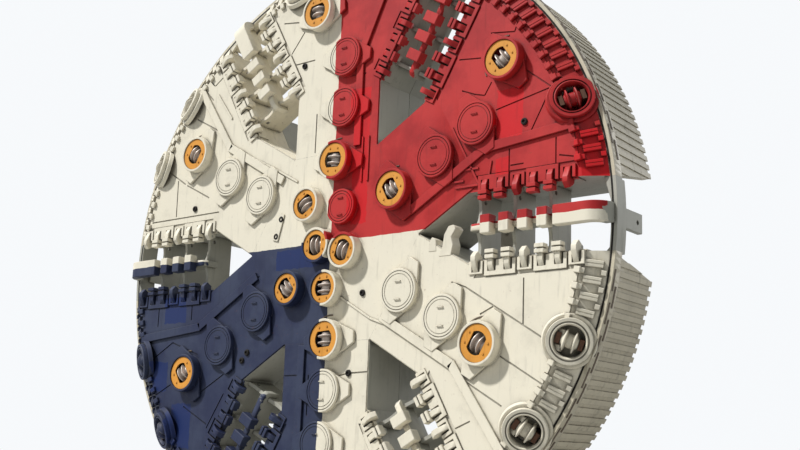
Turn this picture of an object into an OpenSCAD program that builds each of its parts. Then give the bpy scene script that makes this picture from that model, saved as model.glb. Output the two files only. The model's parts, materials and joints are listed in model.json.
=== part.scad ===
// Cutterhead of a soft ground tunnel boring machine, 13.5 m across, in millimetres.
// The turning axis is Y: the cutting face looks to -Y and the drive flange to +Y.
// The origin is the centre of the drive flange's rear face. +Z is up.
// Plans are drawn as seen from in front of the face, with x to the right and z up.

/* [Head] */
// Radius of the rim at its front edge
head_r = 6750; // [6700:10:6900]
// Distance from the cutting face to the drive flange's rear face
head_length = 3000; // [2900:10:3200]
// Depth of the arms and of the centre block
arm_depth = 1000; // [900:10:1100]
// Corner radius of the six-sided centre block
centre_r = 2400; // [2350:10:2450]

/* [Muck slots] */
// Width of a slot between two arms
slot_w = 1400; // [1360:10:1440]
// Width of the bar in the middle of a slot
bar_w = 130; // [110:5:150]
// Place of the bar's inner end, from the axis
bar_start = 3720; // [3700:10:3800]
// Depth of the bar behind the face
bar_depth = 420; // [400:10:460]
// Number of cross ribs in a slot
rib_count = 4; // [3:1:4]
// Place of the first cross rib, from the axis
rib_start = 4060; // [4000:10:4100]
// Spacing of the cross ribs
rib_pitch = 560; // [540:10:580]
// Thickness of a cross rib
rib_t = 80; // [60:5:100]
// Depth of a cross rib
rib_depth = 560; // [500:10:600]
// Distance from the face to a cross rib's front edge
rib_setback = 340; // [330:10:360]
// Radius of the holes in the cross ribs
rib_hole_r = 60; // [40:5:80]

/* [Rim] */
// Radial width of the bevel between face and rim
bevel_w = 440; // [420:5:460]
// Depth of the bevel along the axis
bevel_depth = 250; // [230:5:270]
// Radial width of the groove between bevel and rim
groove_w = 110; // [100:5:120]
// Depth of the smooth strip at the rim's front
strip_depth = 250; // [230:5:270]
// Depth of the part of the rim that goes on across the slots
bridge_depth = 350; // [330:10:370]
// Depth of the whole rim
rim_depth = 1600; // [1500:10:1700]
// Thickness of the rim's shell at its front
rim_t = 270; // [260:5:280]
// Step down from the strip to the rim's barrel
barrel_step = 60; // [50:5:70]
// Further fall of the barrel towards the rear
barrel_fall = 50; // [40:5:60]

/* [Disc cutters] */
// Radius of a cutting disc at its edge
disc_r = 216; // [210:1:220]
// Distance between the two discs of a cutter
disc_pitch = 110; // [100:2:120]
// Thickness of a disc at its edge
disc_edge = 22; // [16:1:30]
// Thickness of a disc at its root
disc_root = 76; // [70:1:84]
// Radius of a cutter's hub
hub_r = 132; // [126:1:138]
// Length of a cutter's hub
hub_w = 320; // [300:2:330]
// Radius of a cutter's shaft
shaft_r = 62; // [56:1:68]
// Length of a cutter's shaft
shaft_w = 520; // [500:2:530]
// How far the discs stand out in front of a housing
disc_out = 34; // [20:1:40]
// Gap between a shaft and its bearing
bearing_gap = 0.3; // [0.2:0.05:0.4]
// Thickness of a bearing post along the shaft
post_t = 84; // [76:1:90]
// Width of a bearing post across the shaft
post_w = 200; // [190:1:210]

/* [Cutter housings] */
// Radius of the opening of a housing
opening_r = 292; // [290:1:300]
// Height of a face housing above the face
housing_h = 230; // [220:5:240]
// Outer radius of a guard ring
guard_r = 415; // [405:5:425]
// Outer radius of a guard ring near the centre
guard_small_r = 368; // [360:2:372]
// Thickness of a guard ring
guard_t = 34; // [28:1:40]
// Depth of a cutter's pocket behind the face
pocket_depth = 280; // [260:5:300]
// Outer radius of a gauge housing
gauge_housing_r = 420; // [410:5:425]
// Height of a gauge housing above the bevel
gauge_housing_h = 150; // [140:5:160]
// Place of a gauge housing's centre on the bevel, from the axis
gauge_r = 6320; // [6300:5:6330]

/* [Blank covers] */
// Radius of a blank cover's ring
cover_r = 500; // [480:5:510]
// Height of a blank cover's ring above the face
cover_h = 170; // [150:5:190]
// Width of the rim of a blank cover
cover_rim_w = 95; // [85:5:105]
// Depth of the groove around a blank cover's disc
cover_groove = 60; // [50:5:70]
// Radius of a blank cover's disc
cover_disc_r = 375; // [365:5:380]

/* [Scrapers] */
// Number of scrapers on one edge of a slot
scraper_count = 6; // [5:1:6]
// Place of the first scraper, from the axis
scraper_start = 3860; // [3840:10:3900]
// Spacing of the scrapers
scraper_pitch = 420; // [400:5:430]
// Width of a scraper's blade
blade_w = 300; // [280:5:320]
// Height of a scraper's blade above the face
blade_h = 120; // [100:5:140]
// Length of a blade across the slot's edge
blade_l = 200; // [180:5:220]
// Depth of the rail that carries the scrapers
rail_depth = 310; // [300:5:320]
// Thickness of the rail on the slot's wall
rail_t = 60; // [50:5:70]
// Width of the notch in a scraper's fork
notch_w = 120; // [100:5:140]
// Reach of a scraper's fork into the slot
fork_l = 300; // [280:5:320]

/* [Rear] */
// Outer radius of the drive flange
flange_r = 2900; // [2850:10:2950]
// Inner radius of the drive flange
flange_bore_r = 2350; // [2300:10:2400]
// Thickness of the drive flange
flange_t = 250; // [220:5:280]
// Radius of the drive flange's bolt circle
bolt_circle_r = 2700; // [2680:5:2720]
// Number of bolts in the drive flange
bolt_count = 48; // [24:6:60]
// Radius of a bolt hole in the drive flange
bolt_hole_r = 36; // [30:1:42]
// Width of a leg between an arm and the drive flange
leg_w = 620; // [560:10:680]
// Inner end of a leg's foot on the arm, from the axis
leg_foot_in = 3300; // [3250:10:3350]
// Length of a leg's foot on the arm
leg_foot_l = 1150; // [1100:10:1200]
// Radius of the hub behind the centre block
hub_drum_r = 1150; // [1100:10:1200]
// Length of the hub
hub_drum_l = 700; // [650:10:750]
// Outer radius of the hub's end plate
hub_plate_r = 850; // [820:10:880]
// Thickness of the hub's end plate
hub_plate_t = 120; // [100:5:140]
// Radius of the bore for the rotary joint
joint_bore_r = 350; // [330:5:370]
// Radius of the rotary joint's bolt circle
joint_circle_r = 600; // [590:5:610]
// Number of bolts around the rotary joint
joint_bolts = 16; // [12:2:20]
// Radius of a bolt hole around the rotary joint
joint_hole_r = 20; // [16:1:24]
// Radius of a mixing bar
mixer_r = 160; // [150:5:180]
// Length of a mixing bar
mixer_l = 700; // [650:10:750]
// Radius of the eye in a lifting lug
lug_eye_r = 75; // [65:5:85]
// Outer radius of a lifting lug
lug_r = 210; // [200:5:220]
// Thickness of a lifting lug
lug_t = 120; // [110:5:130]

/* [Hidden] */
$fn = 96;
seat_gap = 0.4;
face_y = -head_length;
back_y = face_y + arm_depth;
slot_half = slot_w / 2;
arm_half = centre_r / 2;
corner_x = arm_half / tan(30) + slot_half / sin(30);
slot_x = corner_x * cos(30) + arm_half * sin(30);
shell_r = head_r - rim_t;
bevel_out_r = head_r - groove_w;
bevel_in_r = bevel_out_r - bevel_w;
bevel_angle = atan2(bevel_depth, bevel_w);
rim_y = face_y + bevel_depth;
bridge_y = rim_y + bridge_depth;
rim_end_y = rim_y + rim_depth;
reach = 9000;

ARMS = [30, 90, 150, 210, 270, 330];
SLOTS = [0, 60, 120, 180, 240, 300];

// Places of the fitted face cutters: x, z, outer radius of the housing
FACE_CUTTERS = [
    [-560, 5410, 500],
    [-4360, 2630, 500],
    [140, 1840, 500],
    [-620, 940, 385],
    [-260, 0, 385],
    [520, -180, 385],
    [-1060, -880, 385],
    [40, -950, 385],
    [1780, 980, 500],
    [4470, 3270, 500],
    [4030, -2310, 500],
    [-4240, -2610, 500],
    [-150, -5250, 500],
    [120, -2040, 500],
];

// Places of the blank covers on the face: x, z, share of the full radius
BLANKS = [
    [340, 800, 0.77],
    [250, 4210, 1],
    [260, 3040, 1],
    [2010, -1140, 1],
    [3100, -1740, 1],
    [2810, 1550, 1],
    [3800, 2080, 1],
    [-2080, -1310, 1],
    [-3210, -2010, 1],
    [-2150, 1360, 1],
    [-3230, 1930, 1],
    [60, -3100, 1],
    [-60, -4180, 1],
];

// Angles of the gauge cutters on the bevel
GAUGE_ANGLES = [20.7, 79, 102, 140.6, 156.4, 200.9, 217.8, 262, 279, 321.8, 338.4];

// Places of the mixing bars behind the arms: angle, distance from the axis
MIXERS = [[30, 5100], [30, 5900], [150, 4900], [150, 5700], [270, 5000], [270, 5800]];

// Places of the lifting lugs behind the top arm: x
LUGS = [-900, 900];

// Turns a piece about the axis, anticlockwise as seen from the front
module at(a) rotate([0, -a, 0]) children();

// A plan drawn in x and z, from y0 back to y1
module slab(y0, y1) translate([0, y1, 0]) rotate([90, 0, 0]) linear_extrude(y1 - y0) children();

// A body turned about Y from a list of [radius, y]
module turned(profile) rotate([90, 0, 0])
    rotate_extrude($fn = 480) polygon([for (p = profile) [p[0], -p[1]]]);

// A round piece that stands out of its seat, towards -Y
module stud(r, from, to) translate([0, -from, 0]) rotate([90, 0, 0]) cylinder(r = r, h = to - from);

// Puts a piece on the face, its own X pointing away from the axis
module on_face(x, z) translate([x, face_y, z]) rotate([0, -atan2(z, x), 0]) children();

// Puts a piece square on the bevel
module on_bevel(a) at(a)
    translate([gauge_r, face_y + (gauge_r - bevel_in_r) * tan(bevel_angle), 0])
    rotate([0, 0, bevel_angle]) children();

function apart(a, b) = abs((a - b + 900) % 360 - 180);

// Plan of one arm, along +X, drawn smaller all round by the gap given
module arm_plan(gap = 0) {
    x0 = arm_half / tan(30) + seat_gap;
    far = [corner_x + reach * cos(30), arm_half + reach * sin(30)];
    polygon([
        [x0, -arm_half], [corner_x, -arm_half], [far[0], -far[1]],
        [far[0], far[1]], [corner_x, arm_half], [x0, arm_half]
    ]);
}

// Pockets for the cutters that lie near the angle given, or near the centre
module pockets(a, near_centre = false) {
    for (c = FACE_CUTTERS)
        if (near_centre ? norm([c[0], c[1]]) < centre_r + opening_r : apart(atan2(c[1], c[0]), a) < 40)
            on_face(c[0], c[1]) stud(opening_r, -pocket_depth, 1);
    if (!near_centre) for (g = GAUGE_ANGLES) if (apart(g, a) < 32)
        on_bevel(g) stud(opening_r, -pocket_depth, gauge_housing_h);
}

module centre_block() color("ivory") difference() {
    slab(face_y, back_y) circle(r = centre_r, $fn = 6);
    pockets(0, true);
}

arm_profile = [
    [0, face_y], [bevel_in_r, face_y], [bevel_out_r, rim_y], [shell_r - seat_gap, rim_y],
    [shell_r - seat_gap, back_y], [0, back_y]
];

module arm(a, shade) color(shade) difference() {
    intersection() {
        at(a) slab(face_y - 10, back_y + 10) arm_plan();
        turned(arm_profile);
    }
    pockets(a);
}

rim_profile = [
    [shell_r, rim_y], [head_r, rim_y], [head_r, rim_y + strip_depth],
    [head_r - barrel_step, rim_y + strip_depth],
    [head_r - barrel_step - barrel_fall, rim_end_y], [shell_r, rim_end_y]
];

module rim(a) color("ivory") difference() {
    intersection() {
        at(a) slab(rim_y - 10, rim_end_y + 10) arm_plan();
        turned(rim_profile);
    }
    pockets(a);
}

// Bar, cross ribs and the piece of the front ring that closes one slot
module slot_frame(a) color("gainsboro") at(a) {
    half = slot_half - seat_gap;
    difference() {
        union() {
            translate([bar_start, face_y, -bar_w / 2]) cube([shell_r + 1 - bar_start, bar_depth, bar_w]);
            for (i = [0 : rib_count - 1])
                translate([rib_start + i * rib_pitch, face_y + rib_setback, -half])
                    cube([rib_t, rib_depth, 2 * half]);
            intersection() {
                translate([0, rim_y, -half]) cube([reach, bridge_depth, 2 * half]);
                turned(rim_profile);
            }
        }
        for (s = [-1, 1])
            translate([rib_start - 1, face_y + rib_setback + rib_depth / 2, s * slot_half / 2])
                rotate([0, 90, 0]) cylinder(r = rib_hole_r, h = (rib_count - 1) * rib_pitch + rib_t + 2);
    }
}

// Rail with its forks and blades on one edge of a slot
module scraper_rail() {
    first = scraper_start - blade_w / 2;
    last = scraper_start + (scraper_count - 1) * scraper_pitch + blade_w / 2;
    top = slot_half - seat_gap;
    translate([first, face_y, top - rail_t]) cube([last - first, rail_depth, rail_t]);
    for (i = [0 : scraper_count - 1]) translate([scraper_start + i * scraper_pitch, face_y, 0]) {
        translate([-blade_w / 2, -blade_h, top - blade_l]) cube([blade_w, blade_h + rail_depth / 2, blade_l]);
        for (s = [-1, 1])
            translate([s * (notch_w + blade_w) / 4 - (blade_w - notch_w) / 4, 0, top - fork_l])
                cube([(blade_w - notch_w) / 2, rail_depth, fork_l - rail_t]);
    }
}

module scraper_rails() color("whitesmoke")
    for (a = SLOTS) at(a) {
        scraper_rail();
        mirror([0, 0, 1]) scraper_rail();
    }

module face_housings() color("ivory")
    for (c = FACE_CUTTERS) on_face(c[0], c[1]) difference() {
        stud(c[2], 0, housing_h);
        stud(opening_r, -1, housing_h + 1);
    }

module gauge_housings() color("ivory")
    difference() {
        for (g = GAUGE_ANGLES) on_bevel(g) difference() {
            stud(gauge_housing_r, -pocket_depth, gauge_housing_h);
            stud(opening_r, -pocket_depth - 1, gauge_housing_h + 1);
        }
        turned([
            [0, face_y - seat_gap], [bevel_in_r, face_y - seat_gap], [bevel_out_r, rim_y - seat_gap],
            [head_r + 100, rim_y - seat_gap], [head_r + 100, back_y], [0, back_y]
        ]);
    }

module guard_rings() color("darkorange")
    for (c = FACE_CUTTERS) on_face(c[0], c[1]) difference() {
        stud(min(guard_r, c[2] < guard_r ? guard_small_r : guard_r), housing_h, housing_h + guard_t);
        stud(opening_r, housing_h - 1, housing_h + guard_t + 1);
    }

module blank_covers() color("ivory")
    for (b = BLANKS) on_face(b[0], b[1]) {
        r = cover_r * b[2];
        difference() {
            stud(r, 0, cover_h);
            difference() {
                stud(r - cover_rim_w, cover_h - cover_groove, cover_h + 1);
                stud(cover_disc_r * b[2], 0, cover_h + 2);
            }
        }
    }

// Height of a cutter's axis above its seat, for a housing of the height given
function axis_h(h) = h + guard_t + disc_out - disc_r;

// Two posts that hold the ends of a cutter's shaft
module post_pair(h) for (s = [-1, 1]) difference() {
    translate([s * (shaft_w - post_t) / 2 - post_t / 2, -axis_h(h) - post_w / 2, -post_w / 2])
        cube([post_t, axis_h(h) + post_w / 2 + pocket_depth - seat_gap, post_w]);
    translate([-shaft_w, -axis_h(h), 0]) rotate([0, 90, 0])
        cylinder(r = shaft_r + bearing_gap, h = 2 * shaft_w);
}

module cutter_posts() color("dimgray") {
    for (c = FACE_CUTTERS) on_face(c[0], c[1]) post_pair(housing_h);
    for (g = GAUGE_ANGLES) on_bevel(g) post_pair(gauge_housing_h);
}

// Hub, shaft and two discs, turned about X
module twin_cutter(h) color("slategray") translate([0, -axis_h(h), 0]) rotate([0, 90, 0]) {
    half_hub = hub_w / 2;
    half_pitch = disc_pitch / 2;
    rotate_extrude() polygon([
        [0, -shaft_w / 2], [shaft_r, -shaft_w / 2], [shaft_r, -half_hub], [hub_r, -half_hub],
        [hub_r, -half_pitch - disc_root / 2], [disc_r, -half_pitch - disc_edge / 2],
        [disc_r, -half_pitch + disc_edge / 2], [hub_r, -half_pitch + disc_root / 2],
        [hub_r, half_pitch - disc_root / 2], [disc_r, half_pitch - disc_edge / 2],
        [disc_r, half_pitch + disc_edge / 2], [hub_r, half_pitch + disc_root / 2],
        [hub_r, half_hub], [shaft_r, half_hub], [shaft_r, shaft_w / 2], [0, shaft_w / 2]
    ]);
}

module face_cutter(i) on_face(FACE_CUTTERS[i][0], FACE_CUTTERS[i][1]) twin_cutter(housing_h);

module gauge_cutter(i) on_bevel(GAUGE_ANGLES[i]) twin_cutter(gauge_housing_h);

// Slanted box legs between the arms and the drive flange, drawn from the side in x and y
module legs() color("ivory")
    for (a = ARMS) at(a) translate([0, 0, -leg_w / 2]) linear_extrude(leg_w) polygon([
        [leg_foot_in, back_y], [leg_foot_in + leg_foot_l, back_y],
        [flange_r, -flange_t], [flange_bore_r, -flange_t]
    ]);

module drive_flange() color("silver") difference() {
    turned([[flange_bore_r, -flange_t], [flange_r, -flange_t], [flange_r, 0], [flange_bore_r, 0]]);
    for (i = [0 : bolt_count - 1]) at(i * 360 / bolt_count + 180 / bolt_count)
        translate([bolt_circle_r, 0, 0]) stud(bolt_hole_r, -1, flange_t + 1);
}

module hub_drum() color("silver") difference() {
    turned([
        [0, back_y], [hub_drum_r, back_y], [hub_plate_r, back_y + hub_drum_l],
        [hub_plate_r, back_y + hub_drum_l + hub_plate_t], [0, back_y + hub_drum_l + hub_plate_t]
    ]);
    translate([0, back_y + hub_drum_l + hub_plate_t, 0]) {
        stud(joint_bore_r, -1, hub_drum_l / 2 + hub_plate_t);
        for (i = [0 : joint_bolts - 1]) at(i * 360 / joint_bolts)
            translate([joint_circle_r, 0, 0]) stud(joint_hole_r, -1, hub_plate_t);
    }
}

module mixing_bars() color("ivory")
    for (m = MIXERS) at(m[0]) translate([m[1], back_y + mixer_l, 0]) stud(mixer_r, 0, mixer_l);

module lifting_lugs() color("ivory")
    for (x = LUGS) translate([x - lug_t / 2, back_y, 5600]) rotate([0, 90, 0]) difference() {
        union() {
            translate([0, lug_r, 0]) cylinder(r = lug_r, h = lug_t);
            translate([-lug_r, 0, 0]) cube([2 * lug_r, lug_r, lug_t]);
        }
        translate([0, lug_r, -1]) cylinder(r = lug_eye_r, h = lug_t + 2);
    }

centre_block();
for (i = [0 : len(ARMS) - 1]) {
    shade = ["firebrick", "ivory", "ivory", "royalblue", "royalblue", "ivory"][i];
    arm(ARMS[i], shade);
    rim(ARMS[i]);
}
for (a = SLOTS) slot_frame(a);
scraper_rails();
face_housings();
gauge_housings();
guard_rings();
blank_covers();
cutter_posts();
legs();
drive_flange();
hub_drum();
mixing_bars();
lifting_lugs();
for (i = [0 : len(FACE_CUTTERS) - 1])
    face_cutter(i);
for (i = [0 : len(GAUGE_ANGLES) - 1])
    gauge_cutter(i);
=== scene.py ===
"""Dresses the cutterhead of a soft ground tunnel boring machine, in metres.

The head's own frame: the cutting face looks to -Y, +Z is up and +X lies to the right as seen from in front.
The origin is the centre of the drive flange's rear face. Angles are in degrees, anticlockwise from in front.
"""

from __future__ import annotations

import json
import logging
import math
from dataclasses import dataclass
from enum import Enum
from typing import Callable, ClassVar, Iterable, Sequence

import bpy
import numpy as np
from mathutils import Matrix, Vector

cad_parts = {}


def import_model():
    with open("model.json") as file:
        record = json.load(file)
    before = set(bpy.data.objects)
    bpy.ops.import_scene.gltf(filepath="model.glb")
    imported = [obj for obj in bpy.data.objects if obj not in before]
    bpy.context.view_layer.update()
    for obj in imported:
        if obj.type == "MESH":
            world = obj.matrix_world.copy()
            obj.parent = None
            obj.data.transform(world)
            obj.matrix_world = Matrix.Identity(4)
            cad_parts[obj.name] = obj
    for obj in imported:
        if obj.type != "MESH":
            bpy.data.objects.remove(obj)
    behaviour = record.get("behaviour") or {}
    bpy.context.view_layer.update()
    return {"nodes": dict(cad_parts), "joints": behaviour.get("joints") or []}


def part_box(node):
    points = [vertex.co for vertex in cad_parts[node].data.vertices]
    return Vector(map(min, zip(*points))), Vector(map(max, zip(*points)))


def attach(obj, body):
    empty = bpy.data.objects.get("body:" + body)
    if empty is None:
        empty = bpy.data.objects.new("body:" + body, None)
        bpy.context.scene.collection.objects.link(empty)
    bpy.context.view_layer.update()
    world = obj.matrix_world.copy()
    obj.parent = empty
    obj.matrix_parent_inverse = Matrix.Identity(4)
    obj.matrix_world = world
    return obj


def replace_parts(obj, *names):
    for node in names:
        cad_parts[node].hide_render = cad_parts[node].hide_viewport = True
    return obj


LOG = logging.getLogger("cutterhead")

Point = tuple[float, float]
Place = tuple[float, float, float]
Colour = tuple[float, float, float, float]
Segment = tuple[float, float, float, float]
Piece = bpy.types.Object
Socket = bpy.types.NodeSocket
Node = bpy.types.Node
Tree = bpy.types.NodeTree

BODY = "cutterhead"
BEVEL_W = 0.44
GROOVE_W = 0.11
ARMS = (30, 90, 150, 210, 270, 330)
SLOTS = (0, 60, 120, 180, 240, 300)
# Half the angle between two arms
HALF_ARM = 30
# How far a piece reaches into what it stands on
SINK = 0.002
# How far a surface passes the one that it would otherwise lie flush with
OVERLAP = 0.001
# Steps round the seats of the cutters, and round the whole face
ROUND_STEPS = 64
FACE_STEPS = 240


def linear(share: int) -> float:
    """Turns one share of a display colour, 0 to 255, into linear light."""
    value = share / 255
    return value / 12.92 if value <= 0.04045 else ((value + 0.055) / 1.055) ** 2.4


def srgb(red: int, green: int, blue: int) -> Colour:
    """Turns a display colour, each share 0 to 255, into a linear one with full alpha."""
    return (linear(red), linear(green), linear(blue), 1.0)


class Paint(Enum):
    """The paints and bare metals of the head, as display colours in linear light; some of them partly stand
    for painted shade, and one red for painted sunlight.
    """

    CREAM = srgb(237, 229, 208)
    RED = srgb(166, 28, 30)
    RED_FADED = srgb(190, 46, 44)
    # Deep red of freshly painted patches, also used as painted sunlight on one strip of the face
    RED_FRESH = srgb(204, 16, 24)
    BLUE = srgb(30, 38, 68)
    BLUE_FADED = srgb(50, 58, 82)
    BLUE_FRESH = srgb(14, 36, 86)
    AMBER = srgb(232, 160, 66)
    # Greyed cream of the rim: darker than the face's cream as painted shade of its outward side
    RIM_CREAM = srgb(208, 198, 174)
    SADDLE = srgb(96, 64, 44)
    # Grey of the slot walls and deep parts: primer, made darker as painted shade
    WALL = srgb(174, 172, 160)
    # Dark olive of the pocket floors: grime, and painted shade of the deep notches
    OLIVE = srgb(74, 68, 48)
    WELD = srgb(112, 98, 84)
    # Tone of stains, and of the grime and painted shade in crevices
    GRIME = srgb(70, 62, 52)
    # Near black of the nozzles, and of the band of painted shade in the groove between bevel and rim
    DARK = srgb(34, 31, 28)
    RUST = srgb(118, 66, 38)
    STEEL = srgb(196, 190, 182)
    WORN_STEEL = srgb(206, 192, 180)
    DARK_STEEL = srgb(74, 68, 64)


@dataclass(frozen=True)
class Head:
    """The main sizes of the head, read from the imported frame."""

    face_y: float
    back_y: float
    rim_y: float
    rim_r: float
    bevel_in_r: float
    bevel_out_r: float
    bevel_angle: float
    slot_half: float
    arm_half: float

    @property
    def centre_u(self) -> float:
        """Distance along an arm at which it meets the centre block."""
        return self.arm_half / math.tan(math.radians(HALF_ARM))

    @property
    def corner_u(self) -> float:
        """Distance along an arm at which its sides begin to spread."""
        return self.centre_u + self.slot_half / math.sin(math.radians(HALF_ARM))

    @property
    def centre_corner(self) -> float:
        """Radius of the centre block's corners."""
        return self.centre_u / math.cos(math.radians(HALF_ARM))

    @property
    def bevel_slope(self) -> float:
        """Length of the bevel down its slope."""
        return math.hypot(self.bevel_out_r - self.bevel_in_r, self.rim_y - self.face_y)


def read_head() -> Head:
    """Reads the sizes that the dressing is placed by from the frame's nodes.

    Returns:
        The head's sizes.
    """
    block_low, block_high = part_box("centre_block")
    _, strip_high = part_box("slot_frame_0")
    face_y = block_low.y
    rim_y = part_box("rim_90")[0].y
    rim_r = strip_high.x
    return Head(
        face_y=face_y,
        back_y=block_high.y,
        rim_y=rim_y,
        rim_r=rim_r,
        bevel_in_r=rim_r - GROOVE_W - BEVEL_W,
        bevel_out_r=rim_r - GROOVE_W,
        bevel_angle=math.atan2(rim_y - face_y, BEVEL_W),
        slot_half=strip_high.z,
        arm_half=block_high.x / 2,
    )


def apart(first: float, second: float) -> float:
    """Gives the angle between two directions."""
    return abs((first - second + 540) % 360 - 180)


def about_axis(angle: float) -> Matrix:
    """Gives the turn about the head's axis by an angle."""
    return Matrix.Rotation(-math.radians(angle), 4, "Y")


def on_face(head: Head, x: float, z: float, turn: float = 0.0) -> Matrix:
    """Gives the place of a piece on the cutting face.

    Args:
        head: The head's sizes.
        x: Place to the right of the axis.
        z: Place above the axis.
        turn: Direction of the piece's own X.

    Returns:
        The matrix that carries the piece there.
    """
    return Matrix.Translation((x, head.face_y, z)) @ about_axis(turn)


def on_bevel(head: Head, angle: float, slope: float = 0.0) -> Matrix:
    """Gives the place of a piece on the bevel.

    Args:
        head: The head's sizes.
        angle: Angle about the axis.
        slope: Distance down the bevel from its inner edge.

    Returns:
        The matrix that carries a piece there, its own X down the slope.
    """
    edge = Matrix.Translation((head.bevel_in_r, head.face_y, 0))
    tilt = Matrix.Rotation(head.bevel_angle, 4, "Z")
    return about_axis(angle) @ edge @ tilt @ Matrix.Translation((slope, 0, 0))


def curve(middle: Point, radius: float, start: float, end: float, steps: int) -> list[Point]:
    """Gives points along an arc.

    Args:
        middle: Centre of the arc.
        radius: Its radius.
        start: Angle of its first point.
        end: Angle of its last point.
        steps: Number of steps between them.

    Returns:
        The points, both ends among them.
    """
    angles = [math.radians(start + (end - start) * i / steps) for i in range(steps + 1)]
    return [(middle[0] + radius * math.cos(a), middle[1] + radius * math.sin(a)) for a in angles]


def first_linked(linked: np.ndarray, point: int) -> int:
    """Follows the links from a point to the one that stands for its whole solid, and shortens them.

    Args:
        linked: For each point, another point of its solid.
        point: The point.

    Returns:
        The point that stands for the solid.
    """
    while linked[point] != point:
        linked[point] = linked[linked[point]]
        point = linked[point]
    return point


def solid_boxes(node: str) -> list[tuple[Vector, Vector]]:
    """Finds the separate solids of one node.

    Args:
        node: Name of the node in the frame.

    Returns:
        The lowest and highest corner of each of its solids.
    """
    mesh = bpy.data.objects[node].data
    places = np.empty(len(mesh.vertices) * 3)
    mesh.vertices.foreach_get("co", places)
    places = places.reshape(-1, 3)
    _, same = np.unique(np.round(places, 4), axis=0, return_inverse=True)
    linked = np.arange(same.max() + 1)
    for edge in mesh.edges:
        first, second = (first_linked(linked, same.flat[i]) for i in edge.vertices)
        linked[first] = second
    groups: dict[int, list[int]] = {}
    for i, point in enumerate(same.flat):
        groups.setdefault(first_linked(linked, point), []).append(i)
    return [(Vector(places[g].min(0)), Vector(places[g].max(0))) for g in groups.values()]


class Graph:
    """Builds one node tree, a node at a time."""

    def __init__(self, tree: Tree) -> None:
        """Takes the tree to build in."""
        self.tree = tree

    def feed(self, socket: Socket, value: object) -> None:
        """Links a socket into an input, or sets the input to a plain value.

        Args:
            socket: The input.
            value: Another node's socket, or a number, vector or colour.
        """
        if isinstance(value, bpy.types.NodeSocket):
            self.tree.links.new(value, socket)
        else:
            socket.default_value = value

    def add(self, kind: str, settings: dict | None = None, **inputs: object) -> Node:
        """Adds a node.

        Args:
            kind: Blender's name for the node.
            settings: The node's own settings.
            **inputs: Values or sockets for its inputs, with _ for each space in their names.

        Returns:
            The node.
        """
        node = self.tree.nodes.new(kind)
        for name, value in (settings or {}).items():
            setattr(node, name, value)
        for name, value in inputs.items():
            self.feed(node.inputs[name.replace("_", " ")], value)
        return node

    def use(self, tree: Tree, **inputs: object) -> Node:
        """Adds a node group with values or sockets for its inputs."""
        return self.add("ShaderNodeGroup", {"node_tree": tree}, **inputs)

    def math(self, operation: str, first: object, second: object = 0.0) -> Socket:
        """Adds one step of arithmetic.

        Args:
            operation: Blender's name for the step.
            first: Its first value or socket.
            second: Its second one.

        Returns:
            The result.
        """
        node = self.add("ShaderNodeMath", {"operation": operation})
        self.feed(node.inputs[0], first)
        self.feed(node.inputs[1], second)
        return node.outputs[0]

    def plus(self, first: object, second: object) -> Socket:
        """Adds two values."""
        return self.math("ADD", first, second)

    def minus(self, first: object, second: object) -> Socket:
        """Takes the second value from the first."""
        return self.math("SUBTRACT", first, second)

    def times(self, first: object, second: object) -> Socket:
        """Multiplies two values."""
        return self.math("MULTIPLY", first, second)

    def mix(self, share: object, first: object, second: object, blend: str = "MIX") -> Socket:
        """Mixes two colours.

        Args:
            share: Share of the second colour.
            first: The first colour.
            second: The second colour.
            blend: Blender's name for the way in which they mix.

        Returns:
            The mixed colour.
        """
        node = self.add("ShaderNodeMix", {"data_type": "RGBA", "blend_type": blend})
        for i, value in ((0, share), (6, first), (7, second)):
            self.feed(node.inputs[i], value)
        return node.outputs[2]

    def band(self, value: object, *limits: float) -> Socket:
        """Spreads a range of values smoothly over another one.

        Args:
            value: The value.
            *limits: Start and end of its range, and of the new one where that isn't 0 to 1.

        Returns:
            The new value.
        """
        node = self.add("ShaderNodeMapRange", {"interpolation_type": "SMOOTHSTEP"})
        self.feed(node.inputs[0], value)
        for i, limit in enumerate(limits):
            node.inputs[i + 1].default_value = limit
        return node.outputs[0]

    def noise(self, vector: object, scale: float, detail: float = 4.0, rough: float = 0.55) -> Socket:
        """Adds a noise over the vector and returns its value."""
        node = self.add("ShaderNodeTexNoise", Vector=vector, Scale=scale, Detail=detail, Roughness=rough)
        return node.outputs[0]

    def swing(self, vector: object, scale: float, width: float, detail: float = 4.0) -> Socket:
        """Adds a noise that swings about nought, with the whole width of its swing."""
        return self.times(self.minus(self.noise(vector, scale, detail), 0.5), width)

    def parts(self, vector: object) -> bpy.types.bpy_prop_collection:
        """Splits a vector and returns its three values."""
        return self.add("ShaderNodeSeparateXYZ", Vector=vector).outputs


def group(name: str, setting: str, outputs: dict[str, str]) -> tuple[Tree, Graph, Socket, Socket, Node]:
    """Starts a shader node group that takes a place and one number.

    Args:
        name: Name of the group.
        setting: Name of the number.
        outputs: Each output's name, with its kind: Color, Float or Vector.

    Returns:
        The group, its graph, the place, the number and the node that takes the results.
    """
    tree = bpy.data.node_groups.new(name, "ShaderNodeTree")
    sockets = [("Vector", "INPUT", "Vector"), (setting, "INPUT", "Float")]
    sockets += [(label, "OUTPUT", kind) for label, kind in outputs.items()]
    for label, way, kind in sockets:
        tree.interface.new_socket(name=label, in_out=way, socket_type="NodeSocket" + kind)
    graph = Graph(tree)
    source = graph.add("NodeGroupInput")
    return tree, graph, source.outputs["Vector"], source.outputs[setting], graph.add("NodeGroupOutput")


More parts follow.
